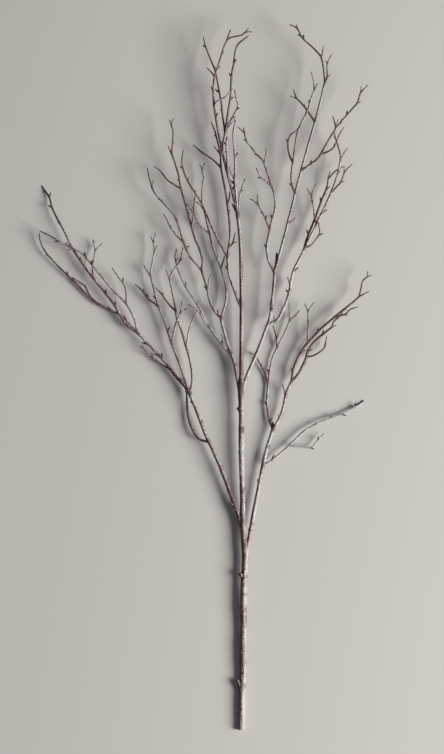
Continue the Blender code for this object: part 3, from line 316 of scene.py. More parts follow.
    Limb("right_upright", "right_outer", (0.9, 0.5), ((133.4, 46.4), (133.7, 60, 13.4), (134.5, 72),
        (134, 82), (135, 89, 15.5), (142, 100, 16.5))),
    Limb("right_upright_fork", "right_upright", (0.55, 0.5), ((134.7, 87), (129, 98, 17))),
    Limb("right_outer_a", "right_outer", (0.8, 0.5), ((167, 79), (178, 82.5, 15.8), (183, 84),
        (189, 90, 17.5), (199.7, 93.5, 19))),
    Limb("right_outer_a_side", "right_outer_a", (0.5, 0.45), ((179, 82.8), (186.6, 82, 16.5))),
    Limb("right_inner", "right_arm", (1.1, 0.9, 0.6), ((112.5, -3.5), (118, 2), (123, 9), (127.5, 18),
        (131.5, 27, 8.5), (134, 36), (139, 44.5), (146, 52), (154, 58, 9), (160, 63), (165.5, 67.7, 10),
        (167.4, 74), (175.4, 81.4, 10.5), (180.4, 90, 11))),
    Limb("right_inner_side", "right_inner", (0.5, 0.45), ((164.6, 66.8), (171.5, 69.6, 10.8))),
    Limb("right_inner_a", "right_inner", (0.8, 0.5), ((132, 28), (141, 30), (149, 34.5), (156, 41),
        (157, 48), (158.5, 56, 6.8))),
    # The tall right limb, the third of the triple fork, up to the top right of the crown.
    Limb("tall_limb", "stem", (2.3, 1.9, 1.45, 1.25, 1.0), ((47, -35), (49.5, -13), (52, -3), (56, 8, 13),
        (60.5, 18), (70, 40.5, 14.5), (78.5, 63), (82, 72, 16), (85, 84), (88.3, 112), (90.5, 140, 18.5),
        (94, 152), (100.5, 176, 19.5), (111, 217, 21), (122, 260, 22.5), (132, 297, 24), (143, 335, 26),
        (150, 362), (153, 375, 29), (155.5, 385, 30))),
    Limb("tall_stub", "tall_limb", (1.35, 1.2), ((91.6, 145), (92.6, 154), (93.2, 163.5, 16.6)), True),
    Limb("tall_spur", "tall_limb", (0.7, 0.5), ((107.2, 201.5), (112.5, 205), (118, 210, 22))),
    Limb("top_left", "tall_limb", (0.95, 0.6), ((155.5, 385), (154.5, 396), (153, 407), (150.3, 418),
        (145, 424.5), (137, 432.5), (126.5, 442), (119, 455), (109, 460, 34))),
    Limb("top_left_tip", "top_left", (0.55, 0.5), ((120.4, 452.4), (118, 461, 34.6))),
    Limb("top_left_side", "top_left", (0.55, 0.5), ((150.6, 417), (152.5, 424), (153, 433, 35))),
    Limb("top_right", "tall_limb", (0.85, 0.6), ((155.5, 385), (158.5, 391), (158.5, 403), (159, 409.5),
        (164, 421.5, 34))),
    Limb("top_right_tip", "top_right", (0.5, 0.45), ((158.8, 407.6), (156, 414.5, 33.6))),
    Limb("top_right_side", "top_right", (0.5, 0.45), ((158.3, 389.6), (163.5, 396.5, 33))),
    Limb("dark_cross", "tall_limb", (0.9, 0.5), ((142.8, 333), (137.5, 341), (131.5, 350, 25), (125, 358),
        (119, 364.5, 26), (116.5, 370), (114, 377, 28))),
    Limb("dark_cross_side", "dark_cross", (0.5, 0.45), ((119.6, 364), (109, 368, 28))),
    Limb("far_right", "tall_limb", (1.2, 0.9, 0.6), ((125.2, 271), (132, 275), (141, 281.4, 24.5),
        (147, 287), (151.4, 293.6, 26), (161.8, 312.4, 28), (171.8, 327.4, 29.5), (191.6, 351, 31.5),
        (198, 359), (202, 371), (212, 382, 34))),
    Limb("far_right_tip", "far_right", (0.5, 0.45), ((201.5, 370), (202.5, 380.5, 34.6))),
    Limb("far_right_side", "far_right", (0.5, 0.45), ((196, 358), (203, 360, 33.4))),
    Limb("far_right_arc", "far_right", (0.8, 0.5), ((150, 293), (157, 294), (163, 297), (168.5, 303),
        (175, 318.5), (181, 327.5, 28.5))),
    Limb("top_middle", "tall_limb", (1.1, 0.85, 0.6), ((116.9, 241), (113.5, 250), (112, 260, 24),
        (112.5, 271), (116, 296), (119.5, 319, 27), (124, 330), (133, 349, 30), (139, 368),
        (146, 384, 33))),
    Limb("top_middle_tip", "top_middle", (0.6, 0.5), ((142, 374), (140.5, 388), (137, 399, 34.2))),
    Limb("top_middle_loop", "top_middle", (0.8, 0.5), ((113.8, 281), (109.5, 290, 23), (107.5, 300),
        (108, 310, 22.5), (111, 317), (117, 321.5), (122, 327, 22.5))),
    Limb("top_inner", "tall_limb", (1.2, 0.9, 0.6), ((90.3, 138), (86.5, 144.5), (82.5, 153),
        (80.3, 163, 19), (80.3, 175), (84.5, 197, 20), (90, 218), (91, 230, 21), (89.5, 241), (86, 251, 22),
        (78.5, 274), (75.5, 283, 24), (68, 290.5), (61, 299, 26), (53.5, 309), (51, 320), (49.5, 327, 28))),
    Limb("top_inner_up", "top_inner", (0.6, 0.5), ((76.2, 281), (79, 292), (79, 300, 27))),
    Limb("top_inner_tip", "top_inner", (0.5, 0.45), ((51.2, 319), (41.5, 328, 25.5))),
    Limb("top_inner_side", "top_inner", (0.5, 0.45), ((54.4, 307.6), (49, 312, 24))),
    Limb("top_inner_a", "top_inner", (0.9, 0.5), ((83.8, 194), (77, 211), (68.5, 228), (68, 240, 23))),
    Limb("top_inner_a_side", "top_inner_a", (0.55, 0.5), ((69.4, 226), (62.5, 231.5), (57, 234, 23.5))),
    Limb("top_inner_b", "top_inner", (0.85, 0.5), ((86.6, 249), (80, 256), (72.5, 262), (69, 268),
        (65.5, 275, 24.5))),
    Limb("right_sweep", "tall_limb", (1.6, 1.45, 1.2, 0.9, 0.6), ((81.4, 70), (86, 72.5), (92, 75, 15.5),
        (97, 81), (104.5, 97, 15), (110, 114, 14.5), (111.5, 126), (114.5, 139), (119, 149),
        (129.5, 169.5, 14), (140, 191), (152, 216, 15), (164.5, 243.5, 17), (172, 265), (176, 286, 19.5),
        (174.5, 297, 21), (168.3, 318, 22), (169.5, 328), (165.5, 342, 24))),
    Limb("right_sweep_tip", "right_sweep", (0.5, 0.45), ((169.3, 326), (173, 338, 24.5))),
    Limb("right_sweep_side", "right_sweep", (0.6, 0.5), ((175.8, 283), (181, 294), (186, 300.5, 21))),
    Limb("right_sweep_stub", "right_sweep", (0.7, 0.5), ((90.6, 74.2), (89, 81.5, 18.5))),
    Limb("right_sweep_a", "right_sweep", (1.1, 0.9, 0.5), ((128.8, 168), (131.5, 180, 13), (136, 192, 12),
        (141, 204), (151, 231, 11.8), (156, 243), (158.5, 250, 12.5), (160.5, 262), (163, 271, 15))),
    Limb("right_sweep_a_side", "right_sweep_a", (0.5, 0.45), ((156.8, 245), (163, 251, 13.6))),
    Limb("right_sweep_a_arc", "right_sweep_a", (0.6, 0.45), ((160.2, 260), (168, 269, 13.6), (175, 273.5),
        (181.5, 277, 15))),
    Limb("right_sweep_b", "right_sweep", (0.85, 0.5), ((163.8, 242), (171, 249.5), (176, 255), (179, 262),
        (182, 269.5), (192, 280, 20))),
    Limb("right_sweep_b_tip", "right_sweep_b", (0.5, 0.45), ((181.2, 267.6), (180.6, 277, 20.6))),
    Limb("right_sweep_b_side", "right_sweep_b", (0.5, 0.45), ((175, 254), (182, 257.5, 19.2))),
    Limb("right_sweep_c", "right_sweep", (0.8, 0.5), ((129.4, 169.4), (138, 174), (144.5, 181.5, 16),
        (149, 190, 17.5), (148, 199, 18.8), (145, 212, 20.5))),
    Limb("right_sweep_d", "right_sweep", (0.8, 0.5), ((145.2, 201.6), (142, 211), (141.5, 222),
        (139.5, 232), (139, 240), (144, 254.5, 20))),
    Limb("right_sweep_d_side", "right_sweep_d", (0.5, 0.45), ((139.2, 238), (131.5, 248, 20.4))),
    Limb("right_sweep_e", "right_sweep", (0.7, 0.5), ((107.6, 106), (108.5, 113, 11), (110, 123, 9),
        (106.5, 133, 7.5))),
)

# The tips of the buds and knobs that show best, as (x, y) on the named limb. Some state a size too,
# and what they are.
SEEN_BUDS = {
    "stem": (
        (43.4, -300, 0.5), (41.6, -255, 1.7), (42.8, -95, 0.5), (41.6, -39, 1.6), (52.6, -141, 0.5),
        (51.2, -62, 0.9)),
    "leader": ((17.6, 345), (7.6, 378), (33.8, 248), (20.6, 404)),
    "leader_side": ((25, 307),),
    "mid_leader": ((41, 414), (31, 397), (35.8, 366)),
    "mid_leader_right": ((39.4, 341), (43.8, 353)),
    "mid_leader_left": ((14, 375), (-3, 433)),
    "right_leader": ((35.2, 256), (41.6, 293)),
    "crown_twig": ((49.4, 246),),
    "middle_limb": ((41.6, 117), (28, 146)),
    "middle_left": ((-31.8, 276),),
    "left_fork": ((42.6, 20),),
    "inner_left": ((15.8, 87.6), (-0.6, 119)),
    "wide_twig": ((-25.4, 124), (20.6, 47)),
    "left_limb": (
        (24.8, -113, 1.3), (17.6, -126, 1.0, Kind.FLAKE), (31, -165, 1.0, Kind.FLAKE),
        (34.6, -173, 0.7, Kind.FLAKE), (33, -168, 0.6, Kind.FLAKE), (-2.4, -53), (-23, -32)),
    "left_arm": ((-28.6, 3), (-57, 30), (-79.6, 45)),
    "pale_far_twig": ((-155.6, 164), (-149, 151.6), (-196.6, 178)),
    "pale_far_a": ((-106.4, 131),),
    "propping_twig": ((-115.4, 101), (-129.8, 115), (-206, 225.4), (-202.4, 241)),
    "low_far_twig": ((-116, 88.6), (-125.4, 92.8), (-181, 138.6)),
    "left_middle": ((-46.6, 66), (-66.8, 108)),
    "left_middle_b": ((-76, 108.4), (-80.4, 118)),
    "left_inner_a": ((-54.8, 113),),
    "right_limb": ((67.4, -131, 1.4), (65.2, -188, 0.5), (85.8, -88, 1.3), (56.4, -196, 0.5)),
    "propping_arm": ((87.6, -101), (165, -47.6), (183.6, -49)),
    "propping_arm_side": ((142.6, -92), (147, -75.8)),
    "low_right": ((78, -31), (86.4, -53), (81.4, 11)),
    "low_right_b": ((95, 56),),
    "low_right_a": ((64.6, 37),),
    "right_arm": ((95.4, -47), (102.6, -44), (88.6, -61.5, 1.5, Kind.BUD)),
    "right_outer": ((112.4, 13), (129, 35), (146.8, 65.6)),
    "right_inner": ((154.4, 61.6), (137.6, 37)),
    "right_inner_a": ((156, 43.6),),
    "tall_limb": ((83.4, 100), (94.4, 138), (86.6, 92)),
    "far_right": ((138, 283), (182, 349)),
    "top_left": ((121, 446), (127, 445)),
    "top_middle": ((109.8, 253), (133, 362)),
    "top_middle_loop": ((105.4, 312),),
    "top_inner": ((77.8, 174), (84.4, 212)),
    "top_inner_a": ((79, 212),),
    "top_inner_b": ((67.4, 262),),
    "right_sweep": ((117.6, 143), (155.6, 219), (113.2, 118)),
    "right_sweep_a": ((148.6, 235), (133, 192)),
    "right_sweep_c": ((151.6, 190),),
    "right_sweep_e": ((105.6, 116), (110.8, 125)),
}

BRIGHT, SILVER, PALE, MIXED, RED, DARK = Tone

# Bloom from the root to the end of each limb that differs from the limb that bears it.
TONED_LIMBS = {
    (SILVER, SILVER, PALE, PALE, MIXED, MIXED): ("stem",),
    (SILVER, PALE, MIXED): ("tall_limb",),
    (BRIGHT, BRIGHT): ("propping_arm",),
    (SILVER, SILVER): ("pale_twig", "middle_right_d", "inner_limb"),
    (SILVER, PALE): ("mid_leader_low", "middle_limb", "wide_twig", "left_inner_b", "top_inner_b"),
    (SILVER, MIXED): ("inner_right_a", "pale_far_twig", "right_arm", "right_sweep"),
    (PALE, SILVER): ("propping_side", "right_limb"),
    (PALE, PALE): ("right_leader",),
    (PALE, MIXED): ("broken_stub", "inner_left", "inner_right", "left_inner", "right_upright"),
    (PALE, RED): ("low_far_twig",),
    (MIXED, PALE): (
        "leader_side", "mid_leader_right", "crown_twig", "left_fork", "left_limb", "left_arm", "left_middle",
        "low_right"),
    (MIXED, MIXED): ("top_middle", "top_inner"),
    (MIXED, RED): ("leader", "middle_right", "middle_left", "propping_twig", "far_right"),
    (RED, MIXED): ("crossing_twig",),
    (RED, RED): ("mid_leader", "dark_arch", "right_outer", "top_left", "right_sweep_b"),
    (RED, DARK): ("right_inner",),
    (DARK, PALE): ("low_right_a",),
    (DARK, RED): ("dark_arch_a", "low_right_b", "top_middle_loop", "right_sweep_a"),
    (DARK, DARK): (
        "leader_spur", "dark_spur", "left_middle_b", "left_inner_a", "tall_stub", "dark_cross",
        "right_sweep_e"),
}
TONES = {name: tones for tones, names in TONED_LIMBS.items() for name in names}


@dataclass(frozen=True)
class Patch:
    """A stretch of a limb whose bark differs: its place, its reach either way, and its tone.

    swell is how much thicker the limb is there, and scar how dark and rough its bark has grown.
    The last flag says that only one side differs, the side that on the stem is turned away from the
    key light; such a patch is painted shade, in its tone and in its scar.
    """

    x: float
    y: float
    reach: float
    tone: Tone
    swell: float = 0.0
    scar: float = 0.0
    # Whether the patch is painted shade on one side only.
    shaded_side: bool = False


PATCHES = {
    "stem": (
        Patch(46.8, -102, 40, SILVER, 0.1), Patch(47, -424, 10, SILVER, 0.05),
        Patch(49.4, -366, 30, MIXED), Patch(49.6, -314, 17, RED),
        Patch(50, -281, 2.0, MIXED, 0.03, 0.35), Patch(50.6, -262, 12, MIXED),
        Patch(51.8, -232, 16, MIXED), Patch(50, -205, 14, MIXED, 0.0, 0.15),
        Patch(48.9, -178, 5, MIXED, 0.0, 0.3), Patch(48.4, -147, 3.4, RED, 0.05, 0.4),
        Patch(48.6, -160, 9, MIXED), Patch(46.9, -68, 4.2, MIXED, 0.12, 0.75),
        Patch(46.8, -48, 12, MIXED), Patch(46.6, -37, 4.0, PALE, 0.2, 0.25),
        # Painted shade: these two dark patches at the triple fork darken only the side away from the key
        # light.
        Patch(46.5, -23, 8, DARK, 0.3, 0.95, True), Patch(46.5, -9, 8, DARK, 0.26, 0.95, True),
        Patch(47, 18, 26, RED, 0.0, 0.3)),
    "right_outer": (Patch(146, 50, 60, RED, 0.22),),
    "right_inner": (Patch(140, 36, 50, DARK, 0.22),),
    "left_limb": (Patch(35, -157, 22, RED, 0.03, 0.15),),
    "right_limb": (Patch(55.5, -216, 14, MIXED), Patch(74.5, -116, 5, MIXED, 0.05, 0.2)),
    "tall_limb": (Patch(48.6, -20, 6, MIXED, 0.0, 0.3),),
    # The dark patch at the root of the left fork is painted shade in the crotch of the triple fork.
    "left_fork": (Patch(44.4, -18, 9, DARK, 0.0, 0.8),),
    "broken_stub": (Patch(43, -397, 7, MIXED, 0.1, 0.6),),
}

# The pieces of the scene, each with the limbs of the stem that it carries.
PIECES = {
    "main_stem": ("stem",),
    "crown_twigs": ("leader", "right_leader", "crown_twig", "crown_stub"),
    "middle_twigs": ("middle_limb",),
    "left_fork_twigs": ("left_fork",),
    "left_limb_twigs": ("left_limb",),
    "right_limb_twigs": ("right_limb",),
    "tall_limb_twigs": ("tall_limb",),
}


@dataclass(frozen=True)
class Place:
    """A place along a limb."""

    centre: Vector
    radius: float
    along: Vector
    run: float


@dataclass(frozen=True)
class Growth:
    """A bud or a knob that a limb bears.

    run is how far along the limb it stands, side is -1 or 1 for left or right as seen from above,
    and lift is how much it leans up or down.
    """

    run: float
    side: float
    lift: float
    size: float
    kind: Kind


@dataclass
class GrownLimb:
    """A limb laid out in space, with all that grows on it.

    crotch is how far from its root its bark parts from its parent's, and towards points from there
    to the parent's middle.
    """

    limb: Limb
    places: list[Place]
    tones: tuple[float, ...]
    piece: str
    crotch: float = 0.0
    towards: Vector = Vector((0.0, 0.0, 0.0))
    forks: list[float] = field(default_factory=list)
    growths: list[Growth] = field(default_factory=list)

    @property
    def length(self) -> float:
        """The limb's length along its middle."""
        return self.places[-1].run

    def nearest(self, x: float, y: float) -> Place:
        """The place that lies nearest to a point, as seen from above."""
        point = Vector((x, y))
        return min(self.places, key=lambda place: (place.centre.xy - point).length)

    def tone_at(self, run: float | np.ndarray) -> float | np.ndarray:
        """The limb's tone at one or more distances along it, patches left out."""
        return np.interp(run / self.length, np.linspace(0.0, 1.0, len(self.tones)), self.tones)

    def at(self, run: float) -> Place:
        """The place at a distance along the limb, kept within its ends.

        Args:
            run: Distance from the root.

        Returns:
            The place there, between its two neighbours.
        """
        run = min(max(run, 0.0), self.length)
        low = min(int(run / self.length * (len(self.places) - 1)), len(self.places) - 2)
        while low > 0 and self.places[low].run > run:
            low -= 1
        while low < len(self.places) - 2 and self.places[low + 1].run < run:
            low += 1
        before, after = self.places[low], self.places[low + 1]
        share = (run - before.run) / max(after.run - before.run, HAIR)
        return Place(
            before.centre.lerp(after.centre, share),
            before.radius + (after.radius - before.radius) * share,
            before.along.lerp(after.along, share).normalized(),
            run,
        )


@dataclass
class Skeleton:
    """Lays out every limb, then decides by a seeded rule where buds and knobs stand.

    A lift is how much a growth leans up: near the table, in the open, on the face of a limb, or as
    a curl of bark. bud_back and knob_back are how far a root lies behind the tip that was seen.
    """

    step: float = 1.0
    bud_spacing: Pair = (36.0, 60.0)
    first_spacing: float = 0.5
    clear_of_fork: float = 8.0
    clear_of_end: float = 2.2
    twig_radius: float = 1.05
    knob_radius: float = 1.45
    low_height: float = 7.0
    low_lift: Pair = (0.3, 0.6)
    open_lift: Pair = (-0.3, 0.6)
    face_lift: float = 1.4
    flake_lift: float = 0.8
    seen_size: float = 1.25
    added_size: float = 0.8
    size_spread: Pair = (0.85, 1.1)
    bud_back: float = 3.6
    knob_back: float = 2.6
    first_run: float = 1.0
    draw: random.Random = field(default_factory=lambda: random.Random(SEED))
    limbs: dict[str, GrownLimb] = field(default_factory=dict)

    def grow(self) -> dict[str, GrownLimb]:
        """Lays out all limbs and what they bear.

        Returns:
            The grown limbs by name, parents first.
        """
        for limb in LIMBS:
            self.limbs[limb.name] = self._lay_out(limb)
        for grown in self.limbs.values():
            self._add_growths(grown)
        return self.limbs

    def _lay_out(self, limb: Limb) -> GrownLimb:
        """Walks a limb from its parent's centreline to its end.

        Args:
            limb: The limb's row in the table.

        Returns:
            The limb with its places, tones and piece.
        """
        path = limb.path
        root_height = None
        parent = self.limbs.get(limb.parent)
        if parent is not None:
            seat = parent.nearest(*path[0][:2])
            root_height = seat.centre.z
            path = ((seat.centre.x, seat.centre.y),) + path[1:]
        curve = self._smooth(self._with_heights(path, root_height))
        runs = [0.0]
        for before, here in zip(curve, curve[1:]):
            runs.append(runs[-1] + (here - before).length)
        places = []
        for i, centre in enumerate(curve):
            ahead = curve[min(i + 1, len(curve) - 1)]
            behind = curve[max(i - 1, 0)]
            radius = float(np.interp(runs[i] / runs[-1], np.linspace(0, 1, len(limb.girth)), limb.girth))
            places.append(Place(centre, radius, (ahead - behind).normalized(), runs[i]))
        grown = GrownLimb(limb, places, self._tones(limb, parent), self._piece(limb, parent))
        if parent is not None:
            self._part(grown, parent)
        return grown

    def _part(self, grown: GrownLimb, parent: GrownLimb) -> None:
        """Notes where a limb's bark parts from its parent's, and on which side of it the crotch lies.

        Args:
            grown: The limb, which gets its crotch.
            parent: The limb that bears it, which gets the fork.
        """
        for place in grown.places:
            beside = parent.nearest(*place.centre.xy)
            gap = beside.centre - place.centre
            if gap.length > beside.radius:
                break
        grown.crotch = place.run
        grown.towards = gap.normalized()
        parent.forks.append(beside.run)

    def _tones(self, limb: Limb, parent: GrownLimb | None) -> tuple[float, ...]:
        """A limb's own tones, or its parent's end tone where it has none of its own."""
        own = tuple(tone.value for tone in TONES.get(limb.name, ()))
        return own or (parent.tones[-1], parent.tones[-1])

    def _piece(self, limb: Limb, parent: GrownLimb | None) -> str:
        """The piece of the scene that a limb belongs to: its own, or its parent's."""
        own = [piece for piece, limbs in PIECES.items() if limb.name in limbs]
        return own[0] if own else parent.piece

    def _with_heights(self, path: tuple, root_height: float | None) -> list[Vector]:
        """Gives every point a height, by length between the points that state one.

        Args:
            path: The points, some with a height.
            root_height: The height of the first one, where the parent gives it.

        Returns:
            The points, each with a height.
        """
        points = [Vector((p[0], p[1], p[2] if len(p) > 2 else 0.0)) for p in path]
        stated = [i for i, p in enumerate(path) if len(p) > 2]
        if root_height is not None:
            points[0].z = root_height
            stated = [0] + [i for i in stated if i > 0]
        runs = [0.0]
        for before, here in zip(points, points[1:]):
            runs.append(runs[-1] + (here.xy - before.xy).length)
        heights = np.interp(runs, [runs[i] for i in stated], [points[i].z for i in stated])
        for point, height in zip(points, heights):
            point.z = float(height)
        return points

    def _smooth(self, points: list[Vector]) -> list[Vector]:
        """Draws a smooth curve through the points.

        Args:
            points: The points that it passes through.

        Returns:
            Points along the curve, about one a step.
        """
        ends = [points[0] * 2 - points[1]] + points + [points[-1] * 2 - points[-2]]
        curve = []
        for a, b, c, d in zip(ends, ends[1:], ends[2:], ends[3:]):
            steps = max(1, round((c - b).length / self.step))
            for k in range(steps):
                t = k / steps
                bend = 2 * a - 5 * b + 4 * c - d
                twist = 3 * b - a - 3 * c + d
                curve.append(0.5 * (2 * b + (c - a) * t + bend * t * t + twist * t ** 3))
        return curve + [points[-1].copy()]

    def _add_growths(self, grown: GrownLimb) -> None:
        """Places the buds that are seen, then fills the fine twig with alternate ones.

        Args:
            grown: The limb that gets them.
        """
        taken = list(grown.forks)
        for x, y, *more in SEEN_BUDS.get(grown.limb.name, ()):
            near = grown.nearest(x, y)
            right = Vector((near.along.y, -near.along.x))
            away = (Vector((x, y)) - near.centre.xy).dot(right)
            size = more[0] if more else self.seen_size
            growth = self._growth(grown, near.run, 1.0 if away > 0.0 else -1.0, size)
            stated = more[1] if len(more) > 1 else None
            kind, lift = stated or growth.kind, growth.lift
            if (kind is Kind.KNOB or stated is Kind.BUD) and abs(away) < near.radius:
                lift = self.face_lift
            elif kind is Kind.FLAKE:
                lift = self.flake_lift
            back = self.bud_back if kind is Kind.BUD else self.knob_back * growth.size
            run = max(near.run - back, self.first_run)
            taken.append(run)
            grown.growths.append(replace(growth, kind=kind, lift=lift, run=run))
        if grown.limb.blunt:
            return
        side = self.draw.choice((-1.0, 1.0))
        run = self.draw.uniform(*self.bud_spacing) * self.first_spacing
        while run < grown.length - self.clear_of_end * BUD_LENGTH:
            clear = all(abs(run - other) > self.clear_of_fork for other in taken)
            if clear and grown.at(run).radius <= self.twig_radius:
                grown.growths.append(self._growth(grown, run, side, self.added_size))
                side = -side
            run += self.draw.uniform(*self.bud_spacing)

    def _growth(self, grown: GrownLimb, run: float, side: float, size: float) -> Growth:
        """Makes one bud, or a knob where the limb is older.

        Args:
            grown: The limb that bears it.
            run: Distance of its root along the limb.
            side: -1 or 1, for left or right.
            size: Its size, before chance changes it.

        Returns:
            The growth.
        """
        place = grown.at(run)
        lift = self.draw.uniform(*(self.low_lift if place.centre.z < self.low_height else self.open_lift))
        kind = Kind.KNOB if place.radius > self.knob_radius else Kind.BUD
        return Growth(run, side, lift, size * self.draw.uniform(*self.size_spread), kind)


@dataclass
class Sheath:
    """The bark of one limb while it is still straight: a table of rings and sides.

    runs, base and swell have one value a ring: its distance, its bare radius and how much it
    swells. tones, scar, radius and lenticel have one row a ring and one column a side.
    """

    runs: np.ndarray
    angles: np.ndarray
    base: np.ndarray
    tones: np.ndarray
    swell: np.ndarray
    scar: np.ndarray
    radius: np.ndarray | None = None
    lenticel: np.ndarray | None = None


def hump(runs: np.ndarray, centre: float, width: float | np.ndarray) -> np.ndarray:
    """A smooth hump, 1 high at its centre, that fades over a width to either side."""
    return np.exp(-((runs - centre) / width) ** 2)


@dataclass
class BarkMaker:
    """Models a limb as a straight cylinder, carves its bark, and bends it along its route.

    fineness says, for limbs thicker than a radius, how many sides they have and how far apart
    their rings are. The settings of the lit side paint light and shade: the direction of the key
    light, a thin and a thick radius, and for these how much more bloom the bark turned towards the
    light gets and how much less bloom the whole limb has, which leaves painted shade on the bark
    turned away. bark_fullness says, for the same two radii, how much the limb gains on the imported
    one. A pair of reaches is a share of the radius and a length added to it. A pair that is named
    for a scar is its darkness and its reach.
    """

    fineness: tuple[tuple[float, int, float], ...] = (
        (3.0, 44, 0.8), (1.5, 22, 1.0), (1.0, 12, 1.5), (0.0, 9, 1.9))
    most_cuts: int = 100
    closest_rings: float = 0.3
    year_ring_gap: float = 0.45
    bud_ring_gap: float = 0.6
    least_bark: float = 0.4
    end_bud_radius: float = 0.8

    # Painted light and shade: the first is the direction of the key light; bark turned towards it gets more
    # bloom and bark turned away gets less, which paints its shade. The drop sets where that painted shade
    # begins.
    lit_side: Triple = (0.86, -0.14, 0.49)
    thin_and_thick_radii: Pair = (1.0, 2.6)
    lit_side_shares: Pair = (0.32, 0.64)
    bloom_drops: Pair = (0.38, 0.6)
    # Where the one-sided patches start to paint shade round the limb.
    shaded_side_middle: float = 0.72
    bark_fullness: Pair = (0.4, 0.08)
    fullness_fade: float = 4.0

    fork_swell: float = 0.13
    fork_reach: Pair = (2.2, 1.0)
    fork_scar: Pair = (0.5, 0.7)
    year_length: Pair = (55.0, 105.0)
    first_year: float = 0.6
    last_year: float = 12.0
    year_ridges: tuple[Pair, ...] = ((-0.9, 0.04), (0.0, 0.08), (0.9, 0.04))
    year_ridge: float = 0.32
    year_scar: Pair = (0.6, 1.1)
    root_sink: float = 1.5
    root_sink_share: float = 0.6
    root_flare: float = 0.3
    flare_reach: Pair = (1.6, 1.5)
    root_scar: float = 0.5
    root_scar_reach: Pair = (2.0, 2.0)
    # Painted shade in the crease where a limb leaves its parent: its bark darkens on the side that faces the
    # parent, near where the two part.
    crotch_reach: Pair = (1.1, 1.2)
    crotch_shade: float = 1.3
    crotch_turn: float = 0.25

    bulges: int = 3
    bulge: float = 0.022
    bulge_length: Pair = (3.5, 16.0)
    oval: float = 0.03
    wrinkles: tuple[int, ...] = (5, 7, 11)
    wrinkle_depth: float = 0.018
    wrinkle_twist: Pair = (-0.02, 0.02)
    wrinkle_length: Pair = (6.0, 14.0)
    lump_sizes: tuple[Pair, ...] = ((6.0, 1.0), (2.6, 0.7))
    lump_depth: float = 0.035
    bud_swell: float = 0.16
    bud_collar: float = 0.4
    cushion_reach: float = 1.5
    cushion_scar: float = 0.35
    leaf_scar: Pair = (0.9, 0.9)

    lenticel_from: float = 1.6
    lenticel_lift: float = 0.11
    lenticel_width: Pair = (0.7, 1.6)
    lenticel_height: Pair = (0.3, 0.45)
    lenticel_gap: Pair = (1.2, 4.6)
    lenticel_girth: float = 4.0
    lenticel_ends: Pair = (2.0, 1.0)
    lenticel_rows: float = 2.0
    lenticel_edge: float = 1.5

    cut_slant: float = 0.22
    cut_reach: float = 6.0
    rim: float = 0.93
    rim_slack: float = 0.02
    cut_insets: tuple[float, ...] = (0.2, 0.3)
    tear_insets: tuple[float, ...] = (0.25, 0.3, 0.25)
    tear_jag: Pair = (-0.15, 0.3)
    tear_splinter: Pair = (-0.25, 0.25)
    tear_core: float = 0.9
    core_sink: float = 0.25
    splinter_step: int = 3
    wall: float = 0.999
    pattern_shift: float = 900.0
    draw: random.Random | None = None

    def make(self, grown: GrownLimb) -> bpy.types.Object:
        """Makes the closed tube of one limb.

        Args:
            grown: The limb as laid out.

        Returns:
            A new mesh object with its marks as attributes.
        """
        sides, gap = self._fineness(grown)
        years = self._year_ends(grown)
        runs = self._ring_runs(grown, years, gap)
        made, segments = self._cylinder(grown, sides, len(runs) - 1)
        spread = np.linspace(0.0, 1.0, segments + 1)
        runs = np.interp(spread, np.linspace(0.0, 1.0, len(runs)), runs)
        sheath = self._carve(grown, runs, np.arange(sides) * 2.0 * math.pi / sides, years)
        self._bend(made, grown, sheath)
        return made

    def _fineness(self, grown: GrownLimb) -> tuple[int, float]:
        """How many sides a limb's tube has, and how far apart its rings are."""
        thickest = max(grown.limb.girth)
        return next((sides, gap) for radius, sides, gap in self.fineness if thickest > radius)

    def _bark_end(self, grown: GrownLimb) -> float:
        """Finds where the bark of a limb stops.

        Args:
            grown: The limb.

        Returns:
            A distance along it, short of the bud that ends it, or at its very end.
        """
        if grown.limb.blunt or grown.places[-1].radius > self.end_bud_radius:
            return grown.length
        return max(grown.length - BUD_LENGTH, grown.length * self.least_bark)

    def _year_ends(self, grown: GrownLimb) -> list[float]:
        """Finds where a year's growth ended, which leaves a band of fine ring scars.

        Args:
            grown: The limb.

        Returns:
            Distances along the limb. The old stem has none.
        """
        ends = []
        run = self.draw.uniform(*self.year_length) * self.first_year
        while run < grown.length - self.last_year:
            ends.append(run)
            run += self.draw.uniform(*self.year_length)
        return ends if grown.limb.parent else []

    def _ring_runs(self, grown: GrownLimb, years: list[float], gap: float) -> np.ndarray:
        """Spreads the rings evenly, with more where the bark has fine form.

        Args:
            grown: The limb.
            years: Distances of the yearly ring scars.
            gap: How far apart the even rings are.

        Returns:
            Distances of all rings.
        """
        end = self._bark_end(grown)
        runs = list(np.linspace(0.0, end, max(4, round(end / gap)) + 1))
        for centre in years:
            runs += [centre + k * self.year_ring_gap for k in range(-3, 4)]
        for growth in grown.growths:
            runs += [growth.run + k * self.bud_ring_gap for k in range(-3, 3)]
        kept = [0.0]
        for run in sorted(run for run in runs if 0.0 < run < end):
            if run - kept[-1] > self.closest_rings:
                kept.append(run)
        kept.append(end)
        return np.array(kept)

